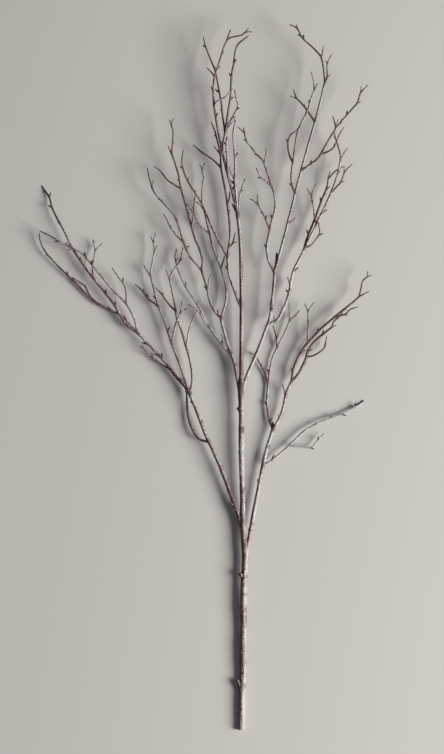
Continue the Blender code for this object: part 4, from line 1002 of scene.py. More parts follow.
    def _cylinder(self, grown: GrownLimb, sides: int, segments: int) -> tuple[bpy.types.Object, int]:
        """Models a straight cylinder, one unit long and one in radius, with even ring cuts.

        Args:
            grown: The limb, which says how its ends are finished.
            sides: How many sides it has.
            segments: How many stretches its length is cut into, at least.

        Returns:
            The new object, and how many stretches it has.
        """
        deselect_all()
        bpy.ops.mesh.primitive_cylinder_add(vertices=sides, radius=1.0, depth=1.0, end_fill_type="NGON")
        made = bpy.context.object
        made.name = grown.limb.name
        bpy.context.tool_settings.mesh_select_mode = (False, True, False)
        first = 1 if segments <= self.most_cuts else math.ceil(math.sqrt(segments))
        second = math.ceil(segments / first)
        for parts in (first, second):
            if parts > 1:
                self._select_upright_edges(made.data)
                bpy.ops.object.mode_set(mode="EDIT")
                bpy.ops.mesh.subdivide(number_cuts=parts - 1)
                bpy.ops.object.mode_set(mode="OBJECT")
        bpy.context.tool_settings.mesh_select_mode = (False, False, True)
        if not grown.limb.parent:
            self._ring_cap(made, -0.5, (1.0 - self.rim, *self.cut_insets))
        if grown.limb.blunt:
            self._ring_cap(made, 0.5, self.tear_insets)
        return made, first * second

    def _select_upright_edges(self, mesh: bpy.types.Mesh) -> None:
        """Selects just the edges that run along the cylinder.

        Args:
            mesh: The cylinder's mesh.
        """
        heights = self._values(mesh.vertices, "co", 3)[:, 2]
        ends = self._values(mesh.edges, "vertices", 2, np.int32)
        upright = np.abs(heights[ends[:, 0]] - heights[ends[:, 1]]) > HAIR
        self._select(mesh, edges=upright)

    def _select(self, mesh: bpy.types.Mesh, **chosen: np.ndarray) -> None:
        """Selects the chosen edges or polygons of a mesh, and nothing else."""
        for part in ("vertices", "edges", "polygons"):
            items = getattr(mesh, part)
            items.foreach_set("select", chosen.get(part, np.zeros(len(items), bool)))

    def _ring_cap(self, made: bpy.types.Object, height: float, insets: tuple[float, ...]) -> None:
        """Insets the face at one end several times and gathers its middle in a point.

        Args:
            made: The straight cylinder.
            height: The height of the end.
            insets: How far each inset goes.
        """
        mesh = made.data
        centres = self._values(mesh.polygons, "center", 3)
        at_end = np.abs(centres[:, 2] - height) < HAIR
        self._select(mesh, polygons=at_end & (np.hypot(centres[:, 0], centres[:, 1]) < 0.5))
        bpy.ops.object.mode_set(mode="EDIT")
        for inset in insets:
            bpy.ops.mesh.inset(thickness=inset, depth=0.0)
        bpy.ops.mesh.poke()
        bpy.ops.object.mode_set(mode="OBJECT")

    def _values(
        self, items: bpy.types.bpy_prop_collection, name: str, width: int, kind: type = np.float32
    ) -> np.ndarray:
        """Reads a property of all items as a table.

        Args:
            items: The vertices, edges or polygons of a mesh.
            name: The property.
            width: How many numbers each item has.
            kind: The type of the numbers.

        Returns:
            One row for each item.
        """
        flat = np.empty(len(items) * width, kind)
        items.foreach_get(name, flat)
        return flat.reshape(-1, width)

    def _carve(self, grown: GrownLimb, runs: np.ndarray, angles: np.ndarray, years: list[float]) -> Sheath:
        """Works out the radius of every point of the bark, and how dark and rough it is, from scars and from
        painted shade.

        Args:
            grown: The limb.
            runs: Distances of the rings.
            angles: Angles of the points round a ring.
            years: Distances of the yearly ring scars.

        Returns:
            The bark, still straight.
        """
        base = np.array([grown.at(run).radius for run in runs])
        before_bud = np.clip((self._bark_end(grown) - runs) / self.fullness_fade, 0.0, 1.0)
        base += np.interp(base, self.thin_and_thick_radii, self.bark_fullness) * before_bud
        tones = np.tile(grown.tone_at(runs)[:, None], (1, len(angles)))
        sheath = Sheath(runs, angles, base, tones, np.zeros(len(runs)), np.zeros(tones.shape))
        self._mark_forks_and_years(grown, sheath, years)
        self._lay_patches(grown, sheath)
        if grown.limb.parent:
            share, length = self.flare_reach
            sheath.swell += self.root_flare * np.exp(-runs / (share * base[0] + length))
            share, length = self.root_scar_reach
            sheath.scar += self.root_scar * np.exp(-runs / (share * base[0] + length))[:, None]
        for _ in range(self.bulges):
            bent = np.sin(runs / self.draw.uniform(*self.bulge_length) + self.draw.uniform(0.0, TURN))
            sheath.swell += self.bulge * bent
        oval = 1.0 + self.oval * np.cos(2.0 * (angles - self.draw.uniform(0.0, TURN / 2)))
        sheath.radius = (base * (1.0 + sheath.swell))[:, None] * oval[None, :]
        for growth in grown.growths:
            self._add_cushion(growth, sheath)
        for folds in self.wrinkles:
            drift = self.draw.uniform(0.0, TURN) + runs * self.draw.uniform(*self.wrinkle_twist)
            depth = self.wrinkle_depth * (0.5 + 0.5 * np.sin(runs / self.draw.uniform(*self.wrinkle_length)))
            sheath.radius *= 1.0 + depth[:, None] * np.sin(folds * angles[None, :] + drift[:, None])
        if base[0] > self.lenticel_from:
            for spacing, share in self.lump_sizes:
                sheath.radius *= 1.0 + self.lump_depth * share * self._lumps(sheath, spacing)
        sheath.lenticel = self._lenticels(sheath)
        sheath.radius += sheath.lenticel * self.lenticel_lift
        sheath.scar = np.clip(sheath.scar, 0, 1)
        return sheath

    def _mark_forks_and_years(self, grown: GrownLimb, sheath: Sheath, years: list[float]) -> None:
        """Swells and scars the bark at the forks and where each year's growth ended.

        Args:
            grown: The limb.
            sheath: Its bark.
            years: Distances of the yearly ring scars.
        """
        share, length = self.fork_reach
        dark, narrow = self.fork_scar
        for fork in grown.forks:
            width = share * sheath.base.mean() + length
            sheath.swell += self.fork_swell * hump(sheath.runs, fork, width)
            sheath.scar += dark * hump(sheath.runs, fork, narrow * width)[:, None]
        dark, reach = self.year_scar
        for year in years:
            for away, lift in self.year_ridges:
                sheath.swell += lift * hump(sheath.runs - year, away, self.year_ridge)
            sheath.scar += dark * hump(sheath.runs, year, reach)[:, None]

    def _lay_patches(self, grown: GrownLimb, sheath: Sheath) -> None:
        """Lays the limb's own patches over its bark.

        Args:
            grown: The limb.
            sheath: Its bark.
        """
        # Painted shade: one-sided patches darken only the side away from the key light on the stem.
        shaded_side = np.clip(self.shaded_side_middle - np.sin(sheath.angles), 0.0, 1.0)
        for patch in PATCHES.get(grown.limb.name, ()):
            near = hump(sheath.runs, grown.nearest(patch.x, patch.y).run, patch.reach)
            here = near[:, None] * (shaded_side if patch.shaded_side else np.ones(len(shaded_side)))[None, :]
            sheath.swell += patch.swell * near
            sheath.scar += patch.scar * here
            sheath.tones += (patch.tone.value - sheath.tones) * here

    def _lumps(self, sheath: Sheath, spacing: float) -> np.ndarray:
        """Makes smooth, uneven lumps.

        Args:
            sheath: The bark that they are for.
            spacing: How far apart they are.

        Returns:
            A value from -1 to 1 for each ring and side.
        """
        rows = int(sheath.runs[-1] / spacing) + 3
        columns = max(4, round(2.0 * math.pi * sheath.base.mean() / spacing))
        knots = np.array([[self.draw.uniform(-1.0, 1.0) for _ in range(columns)] for _ in range(rows)])
        down, down_part = np.divmod(sheath.runs / spacing, 1.0)
        round_to, round_part = np.divmod(sheath.angles / (2.0 * math.pi) * columns, 1.0)
        down, round_to = down.astype(int), round_to.astype(int) % columns
        ease_down = (down_part ** 2 * (3.0 - 2.0 * down_part))[:, None]
        ease_round = (round_part ** 2 * (3.0 - 2.0 * round_part))[None, :]
        upper, lower = (
            knots[np.ix_(row, round_to)] * (1 - ease_round)
            + knots[np.ix_(row, (round_to + 1) % columns)] * ease_round
            for row in (down, down + 1)
        )
        return upper * (1.0 - ease_down) + lower * ease_down

    def _add_cushion(self, growth: Growth, sheath: Sheath) -> None:
        """Swells the bark under a bud, with the dark leaf scar below it.

        Args:
            growth: The bud or knob.
            sheath: The bark.
        """
        turn = np.clip(np.cos(sheath.angles - 0.5 * math.pi * growth.side), 0.0, 1.0)[None, :]
        near = hump(sheath.runs, growth.run, self.cushion_reach)[:, None]
        sheath.radius *= 1.0 + near * self.bud_swell * (self.bud_collar + turn)
        dark, reach = self.leaf_scar
        below = hump(sheath.runs - growth.run, -reach, reach)[:, None]
        sheath.scar += dark * below * turn + self.cushion_scar * near

    def _lenticels(self, sheath: Sheath) -> np.ndarray:
        """Scatters short raised dashes across the older bark.

        Args:
            sheath: The bark.

        Returns:
            How much of a lenticel each point is, from 0 to 1.
        """
        runs = sheath.runs
        mask = np.zeros(sheath.radius.shape)
        if sheath.base.mean() < self.lenticel_from:
            return mask
        run, clear_of_end = self.lenticel_ends
        while run < runs[-1] - clear_of_end:
            here = float(np.interp(run, runs, sheath.base))
            turn = self.draw.uniform(0.0, 2.0 * math.pi)
            width = self.draw.uniform(*self.lenticel_width)
            height = self.draw.uniform(*self.lenticel_height)
            rows = np.abs(runs - run) < self.lenticel_rows
            away = np.angle(np.exp(1j * (sheath.angles - turn))) * here
            reach = (away[None, :] / width) ** 2 + ((runs[rows] - run)[:, None] / height) ** 2
            mask[rows] = np.maximum(mask[rows], np.exp(-reach ** self.lenticel_edge))
            run += self.draw.uniform(*self.lenticel_gap) * self.lenticel_girth / here
        return mask

    def _bend(self, made: bpy.types.Object, grown: GrownLimb, sheath: Sheath) -> None:
        """Gives every point of the straight cylinder its place on the limb, and its marks.

        Args:
            made: The straight cylinder.
            grown: The limb as laid out.
            sheath: Its bark.
        """
        mesh = made.data
        flat = self._values(mesh.vertices, "co", 3)
        sides = len(sheath.angles)
        ring = np.rint((flat[:, 2] + 0.5) * (len(sheath.runs) - 1)).astype(int)
        side = np.rint(np.arctan2(-flat[:, 0], flat[:, 1]) * sides / (2.0 * math.pi)).astype(int) % sides
        share = np.minimum(np.hypot(flat[:, 0], flat[:, 1]), 1.0)
        share[share > self.wall] = 1.0
        places = [grown.at(run) for run in sheath.runs]
        centres = np.array([place.centre[:] for place in places])
        along = np.array([place.along[:] for place in places])
        if grown.limb.parent:
            centres[0] -= along[0] * min(self.root_sink, self.root_sink_share * places[0].radius)
        across, beside = self._directions(places)
        angle = sheath.angles[side]
        reach = sheath.radius[ring, side] * share
        out = np.cos(angle)[:, None] * across[ring] + np.sin(angle)[:, None] * beside[ring]
        offset = out * reach[:, None]
        rise = np.zeros(len(flat))
        if not grown.limb.parent:
            fade = np.clip(1.0 - sheath.runs[ring] / self.cut_reach, 0.0, 1.0)
            rise += offset[:, 0] * self.cut_slant * fade
        if grown.limb.blunt:
            rise += self._tear(ring == ring.max(), side, share, sides) * places[-1].radius
        spots = (centres[ring] + offset + along[ring] * rise[:, None]) * MM
        spots[:, 2] = np.maximum(spots[:, 2], 0.0)
        mesh.vertices.foreach_set("co", spots.astype(np.float32).ravel())
        run = sheath.runs[ring] + self.draw.uniform(0.0, self.pattern_shift)
        grown_at = np.stack([np.cos(angle) * reach, np.sin(angle) * reach, run], axis=1)
        girth = sheath.radius.mean(axis=1)[ring]
        # Painted light and shade: bark that faces the key light gains bloom, and bark turned away loses it
        # and shows painted shade.
        lit = np.interp(girth, self.thin_and_thick_radii, self.lit_side_shares)
        drop = np.interp(girth, self.thin_and_thick_radii, self.bloom_drops)
        tone = sheath.tones[ring, side] + lit * (out @ np.array(self.lit_side)) - drop
        scar = sheath.scar[ring, side]
        # Painted shade in the crotch: the side that faces the parent darkens near where the limb leaves it.
        if grown.limb.parent:
            grows, length = self.crotch_reach
            near = hump(sheath.runs[ring], grown.crotch, length + grows * girth)
            facing = np.clip(out @ np.array(grown.towards) + self.crotch_turn, 0.0, 1.0)
            scar = np.clip(scar + self.crotch_shade * near * facing, 0.0, 1.0)
        skin = np.stack([tone, scar, sheath.lenticel[ring, side] * (share > self.wall)], axis=1)
        set_marks(mesh, grown_at, skin)
        self._set_wood(mesh, grown, share, ring)

    def _directions(self, places: list[Place]) -> tuple[np.ndarray, np.ndarray]:
        """Finds two directions across the limb at each place, carried along without twist.

        Args:
            places: The places.

        Returns:
            The direction that starts upwards, and the one square to it, for each place.
        """
        across, beside = [], []
        carried = Vector((0.0, 0.0, 1.0))
        for place in places:
            carried = (carried - place.along * carried.dot(place.along)).normalized()
            across.append(carried[:])
            beside.append(place.along.cross(carried)[:])
        return np.array(across), np.array(beside)

    def _tear(
        self, last: np.ndarray, side: np.ndarray, share: np.ndarray, sides: int
    ) -> np.ndarray:
        """Roughens the torn wood of a broken end.

        Args:
            last: Whether each point is on the last ring.
            side: The side of the tube that it is on.
            share: How far out from the middle it is, from 0 to 1.
            sides: How many sides the tube has.

        Returns:
            How far each point stands out or back, as a share of the limb's radius.
        """
        jag = np.array([self.draw.uniform(*self.tear_jag) for _ in range(sides)])
        splinter = np.array([self.draw.uniform(*self.tear_splinter) for _ in range(sides)])
        inner = splinter[(side * self.splinter_step) % sides] - self.core_sink
        return np.where(last, jag[side] * share + np.where(share < self.tear_core, inner, 0.0), 0.0)

    def _set_wood(self, mesh: bpy.types.Mesh, grown: GrownLimb, share: np.ndarray, ring: np.ndarray) -> None:
        """Gives the faces inside a cut or broken end the wood's material slot.

        Args:
            mesh: The limb's mesh.
            grown: The limb, which says how its ends are finished.
            share: How far out from the middle each vertex is, from 0 to 1.
            ring: The ring that each vertex is on.
        """
        index = []
        for face in mesh.polygons:
            corners = list(face.vertices)
            inside = all(share[corner] < self.rim + self.rim_slack for corner in corners)
            at_start = not grown.limb.parent and ring[corners[0]] == 0
            at_end = grown.limb.blunt and ring[corners[0]] > 0
            index.append(Skin.WOOD.value if inside and (at_start or at_end) else Skin.BARK.value)
        mesh.polygons.foreach_set("material_index", index)


def set_marks(mesh: bpy.types.Mesh, grown: np.ndarray, skin: np.ndarray) -> None:
    """Writes the two attributes that the materials read.

    Args:
        mesh: The mesh to mark.
        grown: For each vertex, its place in the straightened limb: across, beside and along.
        skin: For each vertex, its tone with painted light and shade, its scar with painted crotch shade, and
            its lenticel.
    """
    for name, values in (("grown", grown), ("skin", skin)):
        attribute = mesh.attributes.new(name, "FLOAT_VECTOR", "POINT")
        attribute.data.foreach_set("vector", values.astype(np.float32).ravel())


def deselect_all() -> None:
    """Leaves edit mode, with nothing selected."""
    if bpy.context.object is not None and bpy.context.object.mode != "OBJECT":
        bpy.ops.object.mode_set(mode="OBJECT")
    bpy.ops.object.select_all(action="DESELECT")


@dataclass
class BudMaker:
    """Models one bud and one knob, and sets copies of them on the limbs.

    A bud is a cone of overlapping scales, whose margins stand a little proud of the next ones. A
    knob is the short ringed stub that an older limb keeps where it once bore a shoot. The rings
    of each give a radius, a height, and how far every second corner stands above the others. A
    growth's size is a fixed number and a share of the limb's radius.
    """

    sides: int = 10
    bud_rings: tuple[Triple, ...] = (
        (0.5, 0.0, 0.0), (0.82, 0.7, 0.0), (0.96, 1.5, 0.35), (0.86, 1.62, 0.35), (0.9, 2.5, -0.4),
        (0.78, 2.66, -0.4), (0.64, 3.5, 0.3), (0.52, 3.62, 0.3), (0.28, 4.4, 0.0))
    knob_rings: tuple[Triple, ...] = (
        (1.3, 0.0, 0.0), (1.25, 0.6, 0.1), (1.16, 1.2, 0.15), (1.1, 1.9, -0.15), (1.14, 2.4, 0.2),
        (0.98, 2.95, 0.25), (0.66, 3.3, -0.3), (0.34, 3.2, 0.0))
    knob_tip: float = 3.0
    margin: float = 0.5
    same_ring: float = 1e-4
    same_radius: float = 1e-3
    bud_lean: float = math.radians(36.0)
    knob_lean: float = math.radians(40.0)
    lean_spread: Pair = (0.8, 1.25)
    length_spread: Pair = (0.9, 1.1)
    bud_size: Pair = (0.68, 0.4)
    knob_size: Pair = (0.6, 0.2)
    largest_knob: float = 0.62
    bud_out: float = 0.55
    knob_out: float = 0.95
    root_ahead: float = 0.3
    end_sunk: float = 0.6
    end_width: float = 0.7
    scarred_from: float = 0.55
    knob_scars: Pair = (0.2, 0.45)
    bud: bpy.types.Object | None = None
    knob: bpy.types.Object | None = None
    draw: random.Random | None = None

    def model(self) -> None:
        """Models both master shapes, in millimetres."""
        self.bud = self._lathe("bud_master", self.bud_rings, BUD_LENGTH)
        self.knob = self._lathe("knob_master", self.knob_rings, self.knob_tip)

    def _lathe(self, name: str, profile: tuple, tip: float) -> bpy.types.Object:
        """Extrudes a ring upwards through a profile and closes it with a point.

        Args:
            name: The object's name.
            profile: For each ring, its radius, its height, and how far every second corner of it
                stands above the others, which makes the pointed margins of the scales.
            tip: The height of the closing point.

        Returns:
            The master object, which is never shown.
        """
        deselect_all()
        bpy.ops.mesh.primitive_circle_add(vertices=self.sides, radius=profile[0][0], fill_type="NGON")
        made = bpy.context.object
        made.name = name
        bpy.ops.object.mode_set(mode="EDIT")
        bpy.ops.mesh.select_all(action="SELECT")
        for (wide, low, _), (narrow, high, _) in zip(profile, profile[1:]):
            bpy.ops.mesh.extrude_region_move(TRANSFORM_OT_translate={"value": (0, 0, high - low)})
            bpy.ops.transform.resize(value=(narrow / wide, narrow / wide, 1), center_override=(0, 0, high))
        bpy.ops.mesh.extrude_region_move(TRANSFORM_OT_translate={"value": (0, 0, tip - profile[-1][1])})
        bpy.ops.mesh.merge(type="CENTER")
        bpy.ops.mesh.select_all(action="SELECT")
        bpy.ops.mesh.normals_make_consistent(inside=False)
        bpy.ops.object.mode_set(mode="OBJECT")
        for vertex in made.data.vertices:
            for wide, level, rise in profile:
                spread = math.hypot(vertex.co.x, vertex.co.y)
                if abs(vertex.co.z - level) < self.same_ring and abs(spread - wide) < self.same_radius:
                    turn = math.atan2(vertex.co.y, vertex.co.x)
                    vertex.co.z += rise * math.cos(turn * self.sides / 2.0) * self.margin
                    break
        made.hide_render = True
        return made

    def _copy(
        self, master: bpy.types.Object, name: str, placing: Matrix, tone: float, skin: Skin
    ) -> bpy.types.Object:
        """Copies a master, with its own mesh, to its place on the branch.

        Args:
            master: The bud or the knob.
            name: The copy's name.
            placing: Its place, in millimetres.
            tone: The tone of its bark, before its side towards the key light is painted with more bloom.
            skin: Its material slot.

        Returns:
            The copy, with its marks.
        """
        mesh = master.data.copy()
        spots = np.array([vertex.co[:] for vertex in mesh.vertices])
        mesh.transform(Matrix.Scale(MM, 4) @ placing)
        facing = np.array([vertex.normal[:] for vertex in mesh.vertices])
        # Painted light and shade: the side of the copy towards the key light gets more bloom, the side away
        # gets less.
        tones = tone + BarkMaker.lit_side_shares[1] * (facing @ np.array(BarkMaker.lit_side))
        scars = np.interp(spots[:, 2] / spots[:, 2].max(), (self.scarred_from, 1.0), self.knob_scars)
        set_marks(mesh, spots, np.stack([tones, scars, np.zeros(len(spots))], axis=1))
        mesh.polygons.foreach_set("material_index", [skin.value] * len(mesh.polygons))
        made = bpy.data.objects.new(name, mesh)
        bpy.context.scene.collection.objects.link(made)
        return made

    def set_on(self, grown: GrownLimb) -> list[bpy.types.Object]:
        """Sets a limb's side buds, knobs and end bud.

        Args:
            grown: The limb as laid out.

        Returns:
            The new objects, all sunk into the limb.
        """
        made = []
        for index, growth in enumerate(grown.growths):
            place = grown.at(growth.run)
            flat = Vector((place.along.y, -place.along.x, 0.0)).normalized() * growth.side
            out = (flat + Vector((0.0, 0.0, growth.lift))).normalized()
            knob = growth.kind is not Kind.BUD
            lean = (self.knob_lean if knob else self.bud_lean) * self.draw.uniform(*self.lean_spread)
            point = (place.along * math.cos(lean) + out * math.sin(lean)).normalized()
            least, share = self.knob_size if knob else self.bud_size
            size = growth.size * (least + share * place.radius)
            reach = self.bud_out
            if knob:
                size = min(size, self.largest_knob * place.radius)
                reach = self.knob_out - self.knob_rings[0][0] * size * math.cos(lean) / place.radius
            start = place.centre + place.along * self.root_ahead + out * place.radius * reach
            placing = self._placing(start, point, size, size * self.draw.uniform(*self.length_spread))
            # The limb's drop of bloom, which also sets where the painted shade on the knob begins.
            tone = float(grown.tone_at(growth.run)) - BarkMaker.bloom_drops[1]
            master, tone, skin = {
                Kind.BUD: (self.bud, 0.0, Skin.BUD),
                Kind.KNOB: (self.knob, tone, Skin.BARK),
                Kind.FLAKE: (self.bud, Tone.SILVER.value, Skin.BARK),
            }[growth.kind]
            name = f"{grown.limb.name}_{growth.kind.value}_{index}"
            made.append(self._copy(master, name, placing, tone, skin))
        end = grown.places[-1]
        if not grown.limb.blunt and end.radius <= BarkMaker.end_bud_radius:
            base = grown.at(grown.length - BUD_LENGTH - self.end_sunk)
            point = (end.centre - base.centre).normalized()
            length = (end.centre - base.centre).length / BUD_LENGTH
            placing = self._placing(base.centre, point, base.radius / self.end_width, length)
            made.append(self._copy(self.bud, f"{grown.limb.name}_end_bud", placing, 0.0, Skin.BUD))
        return made

    def _placing(
        self, start: Vector, point: Vector, wide: float, length: float
    ) -> Matrix:
        """Stands a master at a start, along a direction, at a width and length.

        Args:
            start: Where its foot is.
            point: The direction of its tip.
            wide: How much wider than the master it is.
            length: How much longer than the master it is.

        Returns:
            The master's place.
        """
        turn = point.to_track_quat("Z", "Y").to_matrix().to_4x4()
        spin = Matrix.Rotation(self.draw.uniform(0.0, TURN), 4, "Z")
        return Matrix.Translation(start) @ turn @ spin @ Matrix.Diagonal((wide, wide, length, 1.0))

    def remove_masters(self) -> None:
        """Removes the two master shapes once all copies are made."""
        for master in (self.bud, self.knob):
            bpy.data.objects.remove(master, do_unlink=True)


class NodeBoard:
    """A small helper that lays out one material's shader nodes."""

    def __init__(self, name: str) -> None:
        """Starts a material with its principled shader.

        Args:
            name: The material's name.
        """
        self.material = bpy.data.materials.new(name)
        self.material.use_nodes = True
        self.tree = self.material.node_tree
        self.shader = self.tree.nodes["Principled BSDF"]

    def wire(self, kind: str, inputs: dict, output: str | int, **settings: object) -> Socket:
        """Adds a node and fills its inputs.

        Args:
            kind: Its type, without the first words that all types share.
            inputs: A number, colour or socket for each input, by name or place.
            output: The output that is wanted.
            settings: The node's properties.

        Returns:
            The output.
        """
        node = self.tree.nodes.new(f"ShaderNode{kind}")
        for key, value in settings.items():
            setattr(node, key, value)
        for key, value in inputs.items():
            socket = node.inputs[key]
            if isinstance(value, Socket):
                self.tree.links.new(value, socket)
            else:
                socket.default_value = (*value, 1.0) if socket.type == "RGBA" else value
        return node.outputs[output]

    def show(self, source: Socket, name: str) -> None:
        """Joins an output to one of the shader's inputs."""
        self.tree.links.new(source, self.shader.inputs[name])

    def set(self, **values: float | tuple) -> None:
        """Sets values on the shader's own sockets, with underscores for the spaces in their names."""
        for name, value in values.items():
            self.shader.inputs[name.replace("_", " ")].default_value = value

    def attribute(self, name: str) -> Socket:
        """The vector of a mesh attribute."""
        return self.wire("Attribute", {}, "Vector", attribute_name=name)

    def stretched(self, source: Socket, scale: Triple) -> Socket:
        """A vector scaled along each axis."""
        return self.wire("Mapping", {"Vector": source, "Scale": scale}, "Vector")

    def noise(self, source: Socket, scale: float, detail: float) -> Socket:
        """Cloudy noise from 0 to 1."""
        return self.wire("TexNoise", {"Vector": source, "Scale": scale, "Detail": detail}, "Fac")

    def clouds(self, source: Socket, grain: Grain) -> Socket:
        """Cloudy noise with its own fineness along each axis."""
        return self.noise(self.stretched(source, grain[0]), 1.0, grain[1])

    def math(self, operation: str, first: Value, second: Value) -> Socket:
        """Joins two numbers or sockets by arithmetic."""
        return self.wire("Math", {0: first, 1: second}, "Value", operation=operation)

    def times(self, first: Value, second: Value) -> Socket:
        """The product of two numbers or sockets."""
        return self.math("MULTIPLY", first, second)

    def blend(self, base: Socket, share: float, parts: tuple) -> Socket:
        """Moves a share of a base value up and down.

        Args:
            base: The base value.
            share: How much of it counts.
            parts: Pairs of a noise and its weight. Each moves the value about the noise's middle.

        Returns:
            The sum.
        """
        total = self.times(base, share)
        for noise, weight in parts:
            total = self.math("ADD", total, self.times(self.math("SUBTRACT", noise, 0.5), weight))
        return total

    def fade(self, value: Socket, limits: Pair) -> Socket:
        """A smooth step from 0 at the lower limit to 1 at the upper one."""
        inputs = {"Value": value, "From Min": limits[0], "From Max": limits[1]}
        return self.wire("MapRange", inputs, "Result", interpolation_type="SMOOTHSTEP")

    def ramp(self, value: Socket, places: tuple[float, ...], colours: tuple[Triple, ...]) -> Socket:
        """Lays out a colour ramp.

        Args:
            value: The value that it follows.
            places: The value at each stop.
            colours: The colour at each stop.

        Returns:
            The colour.
        """
        colour = self.wire("ValToRGB", {"Fac": value}, "Color")
        elements = colour.node.color_ramp.elements
        while len(elements) < len(places):
            elements.new(1.0)
        for element, place, shade in zip(elements, places, colours):
            element.position = place
            element.color = (*shade, 1.0)
        return colour

    def mix(self, share: Socket, first: Value, second: Value) -> Socket:
        """Mixes two colours, given as sockets or as values."""
        return self.wire("Mix", {"Factor": share, 6: first, 7: second}, 2, data_type="RGBA")

    def bump(self, height: Socket, depth: float, strength: float) -> None:
        """Roughens the shader's normal by a height, to a depth in millimetres."""
        inputs = {"Height": height, "Distance": depth * MM, "Strength": strength}
        self.show(self.wire("Bump", inputs, "Normal"), "Normal")


@dataclass(frozen=True)
class BarkFinish:
    """Smooth purple-brown bark under a silvery, flaking bloom, with tan lenticels.

    A grain is a noise's fineness across, beside and along the limb, and its detail. Limits are the
    values where something starts to show and where it shows in full. haze and film are the thin
    and the full bloom. A weight says how much one thing moves another, and a share how much shows.
    """

    deep: Triple = (0.021, 0.010, 0.010)
    purple: Triple = (0.075, 0.031, 0.032)
    red: Triple = (0.155, 0.056, 0.054)
    thin: Triple = (0.24, 0.145, 0.155)
    bloom: Triple = (0.27, 0.242, 0.255)
    pale: Triple = (0.55, 0.555, 0.55)
    lenticel: Triple = (0.42, 0.34, 0.30)
    # scar and scurf colour scarred bark, and also the painted shade in crotches and on the shaded side of
    # the triple fork.
    scar: Triple = (0.036, 0.022, 0.019)
    scurf: Triple = (0.105, 0.08, 0.062)
    patch_grain: Grain = ((0.3, 0.3, 0.06), 4.0)
    streak_grain: Grain = ((1.2, 1.2, 0.16), 3.0)
    mottle_grain: Grain = ((0.85, 0.85, 0.5), 6.0)
    grime_grain: Grain = ((0.9, 0.9, 0.6), 5.0)
    crack_grain: Grain = ((0.35, 0.35, 1.3), 5.0)
    dash_grain: Triple = (0.5, 0.5, 0.85)
    tone_weight: float = 0.42
    film_weights: Triple = (0.5, 0.42, 1.15)
    # How much darker bare bark gets where the tone is low: on darker stretches, and as painted shade on the
    # side away from the key light.
    tone_and_shade_darkening: float = 0.16
    film: Pair = (0.18, 0.245)
    haze: Pair = (0.1, 0.18)
    bare_stops: Triple = (0.28, 0.42, 0.56)
    silver_stops: Pair = (0.43, 0.56)
    worn_stops: Pair = (0.44, 0.62)
    crack_limits: Pair = (0.55, 0.63)
    crack_share: float = 0.5
    dirt_limits: Pair = (0.6, 0.68)
    dirt_share: float = 0.6
    dash_limits: Pair = (0.12, 0.22)
    dash_share: float = 0.8
    mark_share: float = 0.85
    scar_weights: Pair = (1.8, 1.6)
    scar_limits: Pair = (0.25, 0.75)
    scar_share: float = 0.9
    bare_gloss: float = 0.36
    bloom_gloss: float = 0.56
    coat: float = 0.1
    coat_gloss: float = 0.3
    mark_relief: float = 0.6
    crack_relief: float = 0.9
    mottle_relief: float = 0.7
    scar_relief: float = -0.6
    film_relief: float = 0.3
    relief: Pair = (0.26, 0.85)

    def material(self) -> bpy.types.Material:
        """Builds the bark's shader.

        Returns:
            The material.
        """
        board = NodeBoard("silvery_birch_bark")
        grown = board.attribute("grown")
        skin = board.wire("SeparateXYZ", {"Vector": board.attribute("skin")}, 0)
        tone, scar, lenticel = skin.node.outputs
        grains = (self.patch_grain, self.streak_grain, self.mottle_grain, self.grime_grain, self.crack_grain)
        patches, streaks, mottle, grime, cracks = (board.clouds(grown, grain) for grain in grains)
        weighed = tuple(zip((patches, streaks, mottle), self.film_weights))
        # The tone carries painted light: bloom shows more on bark turned towards the key light and less on
        # bark turned away.
        lifted = board.blend(tone, self.tone_weight, weighed)
        film = board.fade(lifted, self.film)
        # Bare bark is darker where the tone is low: on darker stretches, and as painted shade on the side
        # away from the key light.
        toned_and_shaded_level = board.blend(mottle, 1.0, ((tone, self.tone_and_shade_darkening),))
        bare = board.ramp(toned_and_shaded_level, self.bare_stops, (self.deep, self.purple, self.red))
        silver = board.ramp(grime, self.silver_stops, (self.bloom, self.pale))
        dusted = board.mix(film, board.mix(board.fade(lifted, self.haze), bare, self.thin), silver)
        lines = board.times(board.fade(cracks, self.crack_limits), self.crack_share)
        grey = board.times(board.fade(streaks, self.dirt_limits), self.dirt_share)
        soiled = board.mix(board.math("MAXIMUM", lines, grey), dusted, self.purple)
        marks = board.math("MAXIMUM", lenticel, board.times(self._dashes(board, grown), self.dash_share))
        dotted = board.mix(board.times(marks, self.mark_share), soiled, self.lenticel)
        # The scar channel holds real scars and painted shade in crotches and on the shaded side of the
        # triple fork; both take the scar colours.
        scar_and_shade_level = board.blend(scar, 1.0, tuple(zip((mottle, grime), self.scar_weights)))
        rough = board.fade(scar_and_shade_level, self.scar_limits)
        scar_and_shade_colour = board.ramp(cracks, self.worn_stops, (self.scar, self.scurf))
        marked = board.mix(board.times(rough, self.scar_share), dotted, scar_and_shade_colour)
        board.show(marked, "Base Color")
        spread = board.times(film, self.bloom_gloss - self.bare_gloss)
        board.show(board.math("ADD", spread, self.bare_gloss), "Roughness")
        board.set(Coat_Weight=self.coat, Coat_Roughness=self.coat_gloss)
        relief = board.math(
            "SUBTRACT", board.times(marks, self.mark_relief), board.times(cracks, self.crack_relief))
        relief = board.blend(relief, 1.0, ((mottle, self.mottle_relief), (rough, self.scar_relief)))
        board.bump(board.math("ADD", relief, board.times(film, self.film_relief)), *self.relief)
        return board.material

    def _dashes(self, board: NodeBoard, grown: Socket) -> Socket:
        """Fine lenticels on thin twigs: small dashes, wider across than along."""
        cells = {"Vector": board.stretched(grown, self.dash_grain), "Scale": 1.0}
        away = board.wire("TexVoronoi", cells, "Distance")
        return board.math("SUBTRACT", 1.0, board.fade(away, self.dash_limits))


